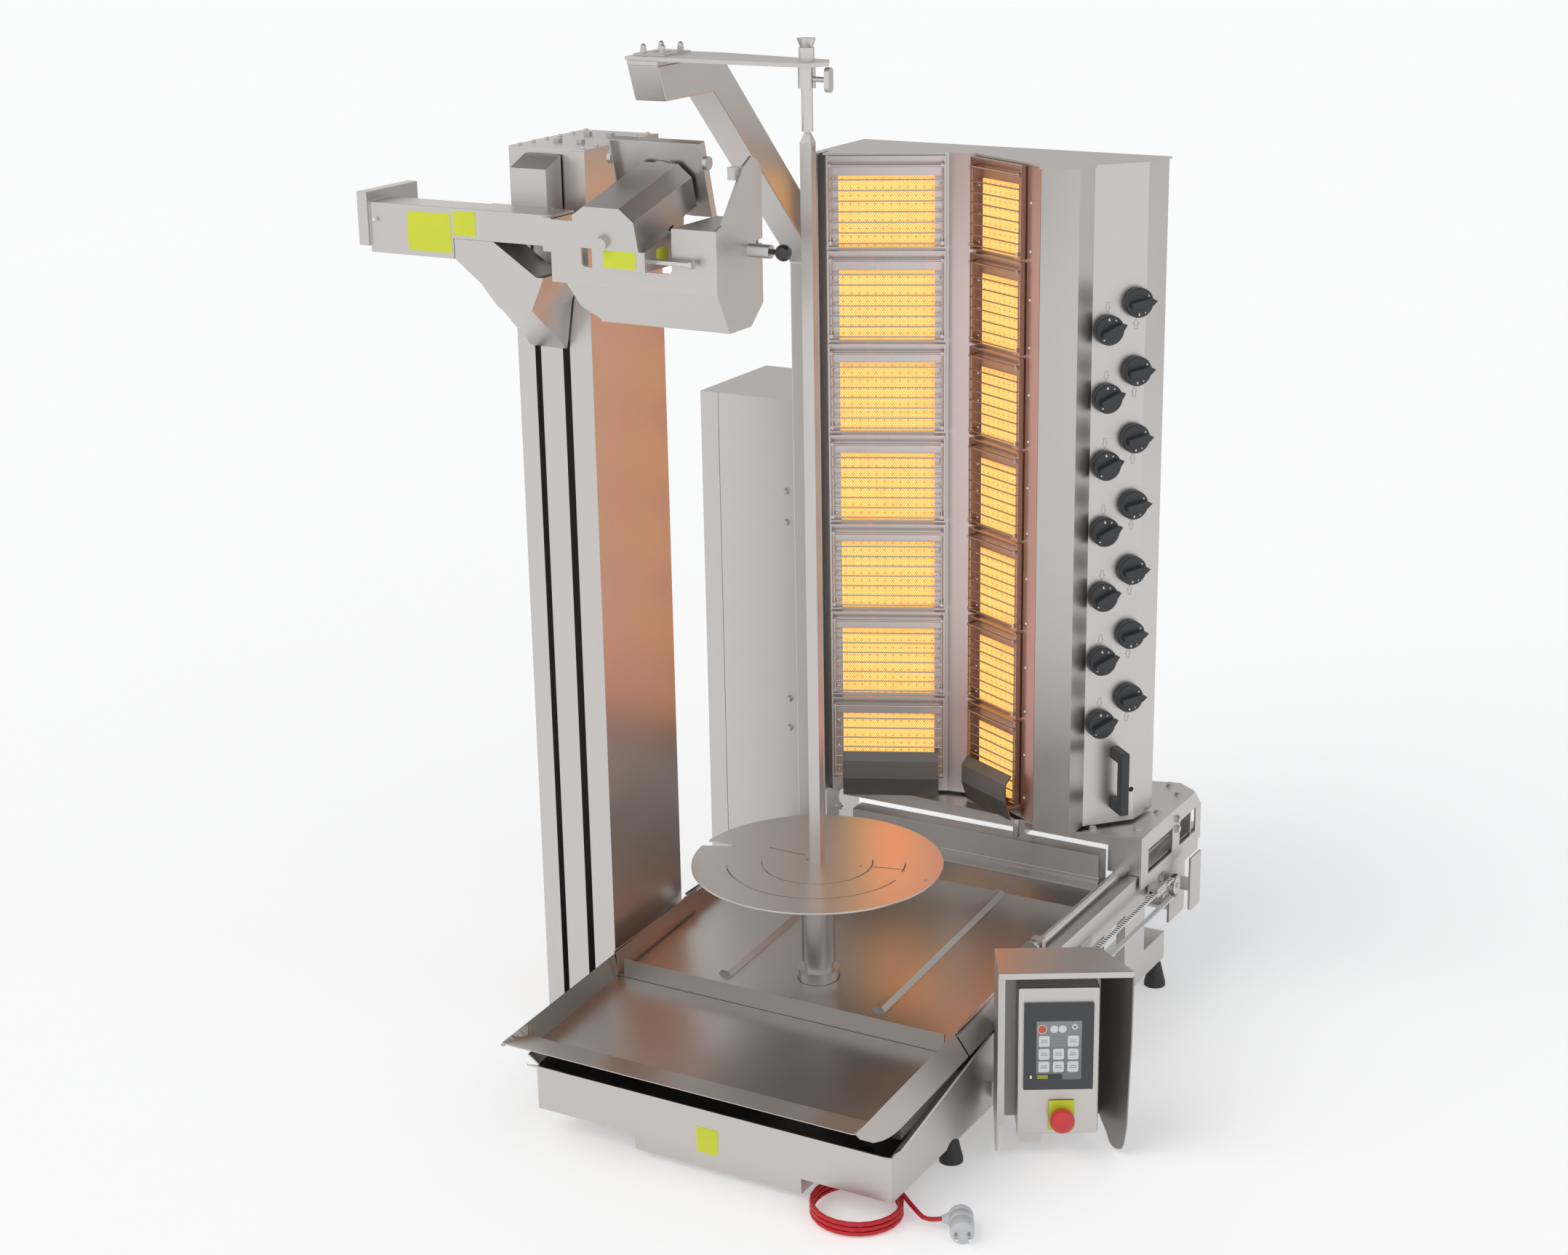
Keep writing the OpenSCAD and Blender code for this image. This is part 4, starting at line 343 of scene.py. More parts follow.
def makeStage(s):
    floor = flatCard("floor", s["floorHalf"], s["floorHalf"])
    made = Finish("paleFloor")
    scale, spread = s["floorCloud"]
    pale = made.shaded(s["floorColour"], made.noise(scale) * spread + (1.0 - spread / 2))
    lightened = made.node("ShaderNodeBsdfDiffuse", None, {"Color": pale})
    glow = made.node("ShaderNodeEmission", None, {"Color": (1.0, 1.0, 1.0, 1.0), "Strength": s["floorGlow"]})
    floor.data.materials.append(made.show(made.node("ShaderNodeAddShader", None, {0: lightened, 1: glow})))

    for index, (source, strength, width, colour) in enumerate(s["suns"]):
        lamp = hangLamp(f"sun{index}", "SUN", strength, colour, Vector(), Vector(source))
        lamp.data.angle = math.radians(width)
        lamp.visible_glossy = False

    # the burners' glow on the steel around them
    for index, (middle, aim, width, height, power) in enumerate(s["glowLamps"]):
        away = place(*middle) - place(aim[0], aim[1], middle[2])
        lamp = hangLamp(f"glow{index}", "AREA", power, s["glowColour"], place(*middle), away)
        lamp.data.shape = "RECTANGLE"
        lamp.data.size = width / 1000
        lamp.data.size_y = height / 1000
        lamp.visible_camera = False

    # grey cards that only the gloss of the steel sees
    for index, (middle, width, height, tilt, turn, grey) in enumerate(s["cards"]):
        card = flatCard(f"card{index}", width / 2000, height / 2000)
        card.matrix_world = (Matrix.Translation(place(*middle)) @ Matrix.Rotation(math.radians(turn), 4, "Z")
                             @ Matrix.Rotation(math.radians(tilt), 4, "X"))
        made = Finish(f"greyCard{index}")
        glow = made.node("ShaderNodeEmission", None, {"Color": s["cardColour"], "Strength": grey})
        card.data.materials.append(made.show(glow))
        for ray in ("camera", "diffuse", "shadow", "transmission"):
            setattr(card, f"visible_{ray}", False)
    print("stage and light made")


makeWorld(stageSettings)
makeStage(stageSettings)
bpy.context.scene.view_settings.view_transform = "Standard"


# Finishes
satinSettings = {
    # how often the brushed lines repeat across and along the sheet
    "across": 900.0,
    "along": 9.0,
    # scale, detail and roughness of the lines and of the two sizes of cloud
    "lines": (1.0, 3.0, 0.6),
    "cloud": (5.0, 3.0, 0.55),
    "patches": (38.0, 2.0, 0.5),
    "toneSpread": 0.05,
    "lineRough": 0.08,
    "cloudRough": 0.10,
    "patchRough": 0.03,
    "bump": 0.05,
}
plainSettings = {
    "cloud": 18.0,
    "toneSpread": 0.12,
    "roughSpread": 0.12,
    "grain": 900.0,
}


def makeSatinSteel(name, colour, rough, grain, s=satinSettings):
    # grain is the axis along which the sheet was brushed
    made = Finish(name)
    stretch = tuple(s["along"] if axis == grain else s["across"] for axis in "XYZ")
    lines = made.noise(*s["lines"], stretch)
    cloud = made.noise(*s["cloud"])
    patches = made.noise(*s["patches"])
    tone = (lines + cloud) * s["toneSpread"] + (1.0 - s["toneSpread"])
    spreads = (s["lineRough"], s["cloudRough"], s["patchRough"])
    dull = lines * spreads[0] + cloud * spreads[1] + patches * spreads[2] + (rough - sum(spreads) / 2)
    return made.close(Base_Color=made.shaded(colour, tone), Metallic=1.0, Roughness=dull,
                      Normal=made.bump(lines, s["bump"]))


def makePlainFinish(name, colour, rough, bumpStrength=0.08, coat=0.0, s=plainSettings):
    made = Finish(name)
    cloud = made.noise(s["cloud"])
    tone = cloud * s["toneSpread"] + (1.0 - s["toneSpread"] / 2)
    dull = cloud * s["roughSpread"] + (rough - s["roughSpread"] / 2)
    return made.close(Base_Color=made.shaded(colour, tone), Roughness=dull, Coat_Weight=coat,
                      Normal=made.bump(made.noise(s["grain"]), bumpStrength))


flankSettings = {
    # where each flank begins in mm, its direction in degrees and its width
    "left": ((-200.14, 414.97), 25.04, 198.1),
    "right": ((28.25, 506.97), -27.5, 139.0),
    "control": ((258.28, 455.92), 47.8, 93.0),
    "top": 1446.0,
    "rows": 7,
    "rowPitch": 155.0,
    "plaqueTop": 33.0,
    "plaqueHeight": 117.0,
}


def onFlank(side, u, v, z):
    (x, y), turn, width = flankSettings[side]
    c, d = math.cos(math.radians(turn)), math.sin(math.radians(turn))
    return place(x + u * c - v * d, y + u * d + v * c, z)


def flankNormal(side):
    turn = math.radians(flankSettings[side][1])
    return Vector((math.sin(turn), -math.cos(turn), 0.0))


# The glowing tiles: staggered holes, pressed cells, cooler rims
plaqueSettings = {
    "holeAcross": 4.1,
    "holeUp": 2.9,
    "cell": 13.4,
    # where each of these ends, and how softly
    "meeting": (74.0, 0.5),
    "holeRim": (0.38, 0.10),
    "groove": (0.44, 0.05),
    "corner": (0.60, 0.05),
    "rim": (0.45, 0.08),
    "heat": (0.62, 0.14),
    "end": (170.0, 12.0),
    "heatCloud": (26.0, 3.0, 0.6),
    "bright": (1.0, 0.80, 0.20),
    "hole": (0.62, 0.13, 0.045),
    "edge": (0.95, 0.42, 0.07),
    "body": (0.35, 0.2, 0.1),
    # how strongly each of these shows
    "holeShare": 0.85,
    "grooveShare": 0.30,
    "cornerShare": 0.7,
    "rimShare": 0.5,
    "heatShare": 0.25,
    "endShare": 0.2,
    "rough": 0.9,
    # strength and depth in metres of the holes
    "holeBump": (0.3, 0.0006),
}


def makePlaque(name, s):
    made = Finish(name)
    x, y, z = (part * 1000.0 for part in made.hereApart())
    along = []
    for side in ("left", "right"):
        (fromX, fromY), turn, _ = flankSettings[side]
        c, d = math.cos(math.radians(turn)), math.sin(math.radians(turn))
        along.append((x - (fromX + spitAxis[0])) * c + (y - (fromY + spitAxis[1])) * d)
    rightSide = 1.0 - x.below(*s["meeting"])
    u = along[0] * (1.0 - rightSide) + along[1] * rightSide
    # staggered round holes
    row = (z / s["holeUp"]).floor()
    shift = (row * 0.5).fract()
    across = ((u / s["holeAcross"] + shift).fract() - 0.5) * (s["holeAcross"] / s["holeUp"])
    up = (z / s["holeUp"]).fract() - 0.5
    hole = (across * across + up * up).root().below(*s["holeRim"])
    # the pressed cells of the tile
    cellU = ((u / s["cell"]).fract() - 0.5).size()
    cellZ = ((z / s["cell"]).fract() - 0.5).size()
    groove = 1.0 - cellU.sum("MAXIMUM", cellU, cellZ).below(*s["groove"])
    heat = made.noise(*s["heatCloud"])
    # cooler towards the rim of each plaque
    pitch, top = flankSettings["rowPitch"], flankSettings["top"]
    inRow = ((top - z) / pitch).fract() * pitch
    inUnit = (inRow - flankSettings["plaqueTop"]) / flankSettings["plaqueHeight"]
    rim = (inUnit - 0.5).size()
    cool = ((1.0 - rim.below(*s["rim"])) * s["rimShare"] + (1.0 - heat.below(*s["heat"])) * s["heatShare"]
            + (1.0 - u.below(*s["end"])) * s["endShare"])
    warm = made.mix(cool, s["bright"], s["edge"])
    shade = made.mix(hole * s["holeShare"], warm, s["hole"])
    shade = made.mix(groove * s["grooveShare"], shade, s["edge"])
    corner = (cellU * cellU + cellZ * cellZ).root()
    shade = made.mix((1.0 - corner.below(*s["corner"])) * s["cornerShare"], shade, s["hole"])
    return made.close(Base_Color=s["body"], Roughness=s["rough"], Emission_Color=shade, Emission_Strength=1.0,
                      Normal=made.bump(1.0 - hole, *s["holeBump"]))


# The toothed belt: where its loop and its teeth are, in mm
beltSettings = {
    "loopMiddle": 205.0,
    "innerHalf": 16.3,
    "from": 244.0,
    "to": 586.0,
    "pitch": 8.0,
    "middle": 375.0,
    "tooth": (9.0, 4.2, 4.0),
    "runs": (187.6, 222.4),
    # how deep the pale steps of painted glint are at the middle of a gap, how much more at a tooth, and their soft
    # edge
    "glintDepth": (0.6, 1.2),
    "glintEdge": 0.15,
    "rough": 0.55,
    "bump": 0.1,
    "dark": (0.03, 0.03, 0.032),
    # the pale colour is a painted glint on the teeth
    "pale": (0.55, 0.54, 0.53),
}


def makeBelt(name, s):
    # teeth show on the belt's edge as pale steps: a painted glint on each tooth
    made = Finish(name)
    x, y, z = (part * 1000.0 for part in made.hereApart())
    depth = (z - s["loopMiddle"]).size() - s["innerHalf"]
    tooth = ((y / s["pitch"]).fract() - 0.5).size() * 2.0
    least, more = s["glintDepth"]
    pale = (depth - (least + more * tooth)).below(0.0, s["glintEdge"])
    shade = made.mix(pale, s["dark"], s["pale"])
    return made.close(Base_Color=shade, Roughness=s["rough"],
                      Normal=made.bump(made.noise(plainSettings["grain"]), s["bump"]))


# The dull screen, a little lighter towards its top; heights in metres
glassSettings = {
    "low": 0.13,
    "high": 0.25,
    "dark": (0.16, 0.165, 0.17),
    "pale": (0.27, 0.275, 0.28),
    "rough": 0.18,
    "roughSpread": 0.08,
    "cloud": 40.0,
}


def makeGlass(name, s):
    made = Finish(name)
    rise = (made.hereApart()[2] - s["low"]) / (s["high"] - s["low"])
    shade = made.mix(rise, s["dark"], s["pale"])
    return made.close(Base_Color=shade, Roughness=s["rough"] + made.noise(s["cloud"]) * s["roughSpread"])


steelColour = (0.60, 0.575, 0.553)
satinFinishes = {
    # material, colour, roughness, axis of the brushing
    "upright": ("satinSteelUpright", steelColour, 0.36, "Z"),
    "across": ("satinSteelAcross", steelColour, 0.36, "X"),
    "deep": ("satinSteelDeep", steelColour, 0.36, "Y"),
    "table": ("satinSteelTable", (0.50, 0.475, 0.455), 0.33, "X"),
    "frameSteel": ("burnerFrameSteel", (0.60, 0.56, 0.55), 0.30, "Z"),
    # the right frames' warm colour is painted orange light from the burners' glow
    "paintedGlow": ("paintedGlowFrameSteel", (0.52, 0.36, 0.30), 0.32, "Z"),
    "turned": ("turnedSteel", (0.64, 0.62, 0.60), 0.28, "X"),
    # dark steel of the motor and the lift screw, and also painted shade on the walls inside the control box hood
    "darkSteelAndShade": ("darkSteelAndShade", (0.30, 0.29, 0.28), 0.40, "Z"),
    "deflector": ("deflectorSteel", (0.22, 0.21, 0.20), 0.42, "X"),
    "bright": ("brightSteel", (0.78, 0.77, 0.76), 0.22, "Z"),
    "key": ("screenKeys", (0.62, 0.63, 0.64), 0.25, "X"),
}
plainFinishes = {
    # material, colour, roughness, then strength of the bump and coat where they differ
    "blackPlastic": ("blackPlastic", (0.030, 0.032, 0.036), 0.42),
    "gloss": ("glossBlack", (0.016, 0.016, 0.018), 0.16, 0.02, 0.4),
    "rubber": ("blackRubber", (0.028, 0.028, 0.028), 0.62),
    "redCord": ("redCord", (0.50, 0.008, 0.015), 0.35),
    "plug": ("greyPlug", (0.56, 0.57, 0.59), 0.40),
    "red": ("redButton", (0.62, 0.035, 0.04), 0.32, 0.03, 0.2),
    "white": ("whiteMarks", (0.80, 0.80, 0.80), 0.50),
    "printed": ("greyMarks", (0.30, 0.30, 0.31), 0.55),
    "sticker": ("yellowSticker", (0.62, 0.68, 0.035), 0.45, 0.03),
    "bezel": ("darkBezel", (0.045, 0.047, 0.052), 0.35),
    "icon": ("orangeIcon", (0.55, 0.10, 0.04), 0.4),
}
finishes = {key: makeSatinSteel(*values) for key, values in satinFinishes.items()}
finishes |= {key: makePlainFinish(*values) for key, values in plainFinishes.items()}
finishes["glass"] = makeGlass("screenGlass", glassSettings)
finishes["belt"] = makeBelt("toothedBeltPaintedGlints", beltSettings)
finishes["plaque"] = makePlaque("glowingPlaque", plaqueSettings)

nodeFinishes = {
    "upright": ["neck_post", "cabinet_box", "cabinet_door", "column_shell", "burner_housing", "panel_box",
                "lift_carriage", "spit", "drive_tube", "base_frame", "panel_bracket", "bearing_collar"],
    "across": ["arm_beam", "head_carrier", "rear_frame", "top_arm", "turntable_disc", "blade_guard"],
    "deep": ["rail_beam", "burner_carriage", "head_housing"],
    "table": ["meat_table", "meat_pan"],
    "frameSteel": ["left_burner_frames"],
    "paintedGlow": ["right_burner_frames"],
    "turned": ["guide_rod", "centre_pin", "lock_lever", "top_bearing", "sharpener_rod", "blade", "pulley_front",
               "pulley_rear"],
    "darkSteelAndShade": ["turntable_motor", "lift_screw"],
    "blackPlastic": ["housing_handle"] + [f"gas_knob_{i}" for i in range(1, 15)],
    "gloss": ["index_plunger"],
    "rubber": ["base_feet", "cord_gland"],
    "belt": ["drive_belt"],
    "plug": ["plug"],
    "red": ["e_stop"],
    "bezel": ["touch_screen"],
    "plaque": ["burner_plaques"],
}


def dressNodes(groups):
    for finish, names in groups.items():
        for name in names:
            nodes[name].data.materials.clear()
            nodes[name].data.materials.append(finishes[finish])
    print("CAD nodes dressed")


dressNodes(nodeFinishes)


# Tools for the pieces below
def shapedMesh(piece):
    # the mesh after the piece's modifiers, which then go
    bpy.context.view_layer.update()
    made = bpy.data.meshes.new_from_object(piece.evaluated_get(bpy.context.evaluated_depsgraph_get()))
    piece.modifiers.clear()
    piece.data = made
    return made


def linkPiece(name, mesh, finish, body):
    piece = setOut(name, mesh)
    mesh.materials.clear()
    mesh.materials.append(finishes[finish])
    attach(piece, body)
    return piece


scatterForms = {
    "block": ("GeometryNodeMeshCube", {"Size": (1.0, 1.0, 1.0)}),
    "stud": ("GeometryNodeMeshCylinder", {"Vertices": 20, "Radius": 0.5, "Depth": 1.0}),
    "ball": ("GeometryNodeMeshUVSphere", {"Segments": 16, "Rings": 8, "Radius": 0.5}),
}
scatterPorts = {"Points": "Geometry", "Wide": "Float", "Deep": "Float", "High": "Float", "Turn": "Vector",
                "Finish": "Material"}


def scatterTree(form):
    # repeats one small form on every point of the mesh that carries it
    tree = bpy.data.node_groups.new(f"scatter_{form}", "GeometryNodeTree")
    ports = {label: tree.interface.new_socket(label, in_out="INPUT", socket_type="NodeSocket" + kind)
             for label, kind in scatterPorts.items()}
    tree.interface.new_socket("Made", in_out="OUTPUT", socket_type="NodeSocketGeometry")
    add = tree.nodes.new
    start, end = add("NodeGroupInput"), add("NodeGroupOutput")
    kind, values = scatterForms[form]
    shape = add(kind)
    for key, value in values.items():
        shape.inputs[key].default_value = value
    size, scaled = add("ShaderNodeCombineXYZ"), add("GeometryNodeTransform")
    turned, spread = add("FunctionNodeEulerToRotation"), add("GeometryNodeInstanceOnPoints")
    real, dressed = add("GeometryNodeRealizeInstances"), add("GeometryNodeSetMaterial")
    for source, out, target, port in (
            (start, "Wide", size, 0), (start, "Deep", size, 1), (start, "High", size, 2),
            (shape, 0, scaled, "Geometry"), (size, 0, scaled, "Scale"), (start, "Turn", turned, 0),
            (start, "Points", spread, "Points"), (scaled, 0, spread, "Instance"), (turned, 0, spread, "Rotation"),
            (spread, 0, real, 0), (real, 0, dressed, "Geometry"), (start, "Finish", dressed, "Material"),
            (dressed, 0, end, 0)):
        tree.links.new(source.outputs[out], target.inputs[port])
    return tree, {label: port.identifier for label, port in ports.items()}


scatterTrees = {form: scatterTree(form) for form in scatterForms}


def scatter(name, form, size, facing, points, finish, body, smooth=False):
    # size in mm; facing is where the form's own Z looks
    tree, ids = scatterTrees[form]
    mesh = bpy.data.meshes.new(name)
    mesh.from_pydata([tuple(p) for p in points], [], [])
    piece = setOut(name, mesh)
    modifier = piece.modifiers.new("scatter", "NODES")
    modifier.node_group = tree
    for label, value in zip(("Wide", "Deep", "High"), size):
        modifier[ids[label]] = value / 1000
    modifier[ids["Turn"]] = tuple(Vector(facing).to_track_quat("Z", "Y").to_euler())
    modifier[ids["Finish"]] = finishes[finish]
    for face in shapedMesh(piece).polygons:
        face.use_smooth = smooth
    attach(piece, body)
    return piece


def faceAt(origin, across, up=(0, 0, 1)):
    # X across the face, Y up it and Z out of it, in mm
    x, y = Vector(across).normalized(), Vector(up).normalized()
    turn = Matrix((x, y, x.cross(y))).transposed().to_4x4()
    return Matrix.Translation(place(*origin)) @ turn @ millimetres


def flankFace(side, u, z):
    turn = math.radians(flankSettings[side][1])
    base = onFlank(side, u, 0, z) * 1000
    return faceAt((base.x - spitAxis[0], base.y - spitAxis[1], z), (math.cos(turn), math.sin(turn), 0))


def circleOf(radius, count, x=0.0, y=0.0):
    angles = [k * math.tau / count for k in range(count)]
    return [(x + radius * math.cos(a), y + radius * math.sin(a)) for a in angles]


def roundedBox(wide, high, radius, x=0.0, y=0.0, count=5):
    out = []
    for i, (sx, sy) in enumerate(((1, 1), (-1, 1), (-1, -1), (1, -1))):
        for k in range(count + 1):
            angle = (i + k / count) * math.pi / 2
            out.append((x + sx * (wide / 2 - radius) + radius * math.cos(angle),
                        y + sy * (high / 2 - radius) + radius * math.sin(angle)))
    return out


# the inset's corners move at most the depth divided by this, and a bevel turns after this share of it
cornerLimit = 0.35
bevelTurn = 0.3


def inset(outline, depth):
    out = []
    for i, b in enumerate(outline):
        a, c = outline[i - 1], outline[(i + 1) % len(outline)]
        before, after = (Vector((q[0] - p[0], q[1] - p[1])).normalized() for p, q in ((a, b), (b, c)))
        left, right = Vector((-before.y, before.x)), Vector((-after.y, after.x))
        step = (left + right) / max(1.0 + left.dot(right), cornerLimit)
        out.append((b[0] + step.x * depth, b[1] + step.y * depth))
    return out


def folded(profile, *step):
    # the section of a sheet: along its profile, and back again one thickness away
    return profile + [(a + step[0], b + step[1]) for a, b in reversed(profile)]


class Shape:
    # one mesh that grows ring by ring
    def __init__(self, name):
        self.name = name
        self.form = bmesh.new()

    def rings(self, matrix, rings, closed=False, smooth=True):
        made = [[self.form.verts.new(matrix @ Vector(p)) for p in ring] for ring in rings]
        pairs = list(zip(made, made[1:])) + ([(made[-1], made[0])] if closed else [])
        for low, high in pairs:
            for i in range(len(low)):
                j = (i + 1) % len(low)
                face = self.form.faces.new((low[i], low[j], high[j], high[i]))
                face.smooth = smooth
        if not closed:
            self.form.faces.new(made[0][::-1])
            self.form.faces.new(made[-1])
        return self

    def plate(self, matrix, outline, low, high, bevel=0.0, smooth=False):
        levels = [(low, outline), (high - bevel, outline)]
        if bevel:
            turn = bevel * bevelTurn
            levels += [(high - turn, inset(outline, turn)), (high, inset(outline, bevel))]
        return self.rings(matrix, [[(p[0], p[1], level) for p in shape] for level, shape in levels], smooth=smooth)

    def turned(self, matrix, profile, count):
        return self.rings(matrix, [[(x, y, level) for x, y in circleOf(radius, count)] for radius, level in profile])

    def frame(self, matrix, outer, inner, low, high):
        levels = ((outer, low), (outer, high), (inner, high), (inner, low))
        return self.rings(matrix, [[(p[0], p[1], level) for p in shape] for shape, level in levels],
                          closed=True, smooth=False)

    def link(self, finish, body, slot, replaced=()):
        bmesh.ops.recalc_face_normals(self.form, faces=self.form.faces)
        mesh = bpy.data.meshes.new(self.name)
        self.form.to_mesh(mesh)
        self.form.free()
        piece = linkPiece(self.name, mesh, finish, body)
        if replaced:
            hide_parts(*replaced)
        return piece


edgeLimits = {"weld": 0.000005, "flat": 0.5, "sharp": 35.0, "segments": 2}
finishOf = {node: finish for finish, held in nodeFinishes.items() for node in held}
bodyOf = {node: body for body, held in frame["record"]["behaviour"]["bodies"].items() for node in held}


def softEdges(name, width, s=edgeLimits):
    # a copy of a CAD node with rounded edges stands for it
    form = bmesh.new()
    form.from_mesh(nodes[name].data)
    bmesh.ops.remove_doubles(form, verts=form.verts, dist=s["weld"])
    bmesh.ops.dissolve_limit(form, angle_limit=math.radians(s["flat"]), verts=form.verts, edges=form.edges)
    mesh = bpy.data.meshes.new(name + "_soft")
    form.to_mesh(mesh)
    form.free()
    piece = setOut(name + "_soft", mesh)
    bevel = piece.modifiers.new("edges", "BEVEL")
    bevel.width = width / 1000
    bevel.segments = s["segments"]
    bevel.limit_method = "ANGLE"
    bevel.angle_limit = math.radians(s["sharp"])
    bevel.use_clamp_overlap = True
    made = shapedMesh(piece)
    made.materials.clear()
    made.materials.append(finishes[finishOf[name]])
    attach(piece, bodyOf[name])
    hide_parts(name)


# width in mm of the rounded edge of each folded or cut piece
edgeSettings = {
    "arm_beam": 0.9, "column_shell": 0.8, "base_frame": 0.7, "turntable_disc": 0.6, "neck_post": 2.0,
    "cabinet_box": 0.8, "cabinet_door": 0.8, "head_carrier": 0.8, "head_housing": 1.0, "meat_table": 0.5,
    "rear_frame": 0.8, "lift_carriage": 0.9, "burner_carriage": 0.8, "housing_handle": 2.0, "top_arm": 0.8,
    "rail_beam": 0.8, "spit": 0.8, "panel_bracket": 0.8, "blade_guard": 0.4,
}
# gas knobs: a round dial, a grip with a pointed end, white marks and arrows on the face beside them
knobSettings = {
    "u": (26.0, 76.0),
    "first": (522.0, 563.0),
    "pitch": 111.0,
    "rows": 7,
    "dial": [(8.0, 0.3), (22.8, 0.3), (24.0, 1.4), (24.0, 12.5), (23.4, 13.9), (22.2, 14.4), (0.5, 14.4)],
    "grip": [(-17.0, -5.2), (8.0, -6.6), (17.5, -6.0), (26.0, 0.0), (17.5, 6.0), (8.0, 6.6), (-17.0, 5.2),
             (-18.6, 3.4), (-18.6, -3.4)],
    # levels here and below: from, to, and the rounded edge where there is one
    "gripLevels": (14.2, 26.5, 1.2),
    "gripTurn": (22.0, 8.0),
    # angle and kind of each mark on the left and the right dial
    "marks": (((100, "flame", 1.0), (62, "flame", 0.7), (232, "dot", 1.0)),
              ((36, "dot", 1.0), (266, "flame", 0.9), (300, "flame", 0.6))),
    "markRadius": 18.4,
    "markLevels": (14.3, 14.7),
    "dotRadius": 1.5,
    "flame": [(2.9, 0), (0.4, 1.5), (-1.4, 1.5), (-2.4, 0), (-1.4, -1.5), (0.4, -1.5)],
    "arrow": [(0, -9), (5.2, 0), (2.6, 0), (2.6, 8), (-2.6, 8), (-2.6, 0), (-5.2, 0)],
    "arrowFrom": 36.0,
    "line": 0.55,
    "arrowProud": 0.25,
    "reach": 10.0,
}


def turnedBy(degrees):
    return Matrix.Rotation(math.radians(degrees), 4, "Z")


def makeKnobs(s):
    arrows = Shape("knob_arrows")
    spots = [(column, s["u"][column], s["first"][column] + s["pitch"] * row)
             for column in (0, 1) for row in range(s["rows"])]
    for node in [f"gas_knob_{k + 1}" for k in range(len(spots))]:
        # the knob of the CAD tells which spot it is
        middle = sum((Vector(p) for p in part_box(node)), Vector()) / 2
        away = [(onFlank("control", u, -s["reach"], z) - middle).length for column, u, z in spots]
        column, u, z = spots[away.index(min(away))]
        face = flankFace("control", u, z)
        dial = Shape(node.replace("gas_", "") + "_dial").turned(face, s["dial"], count=48)
        dial.plate(face @ turnedBy(s["gripTurn"][column]), s["grip"], *s["gripLevels"])
        dial.link("blackPlastic", node, "black_plastic", (node,))
        marks = Shape(node.replace("gas_", "") + "_marks")
        for angle, kind, size in s["marks"][column]:
            here = face @ turnedBy(angle) @ Matrix.Translation((s["markRadius"], 0, 0))
            if kind == "dot":
                marks.plate(here, circleOf(s["dotRadius"], count=14), *s["markLevels"])
            else:
                flame = [(x * size, y * size) for x, y in s["flame"]]
                marks.plate(here @ turnedBy(180 if column else 0), flame, *s["markLevels"])
        marks.link("white", node, "black_plastic")
        side = 1 if column == 0 else -1
        arrow = [(x * side, side * (y + s["arrowFrom"])) for x, y in s["arrow"]]
        arrows.frame(face, arrow, inset(arrow, s["line"]), 0.0, s["arrowProud"])
    arrows.link("printed", "burners", "steel")
    print("gas knobs made")


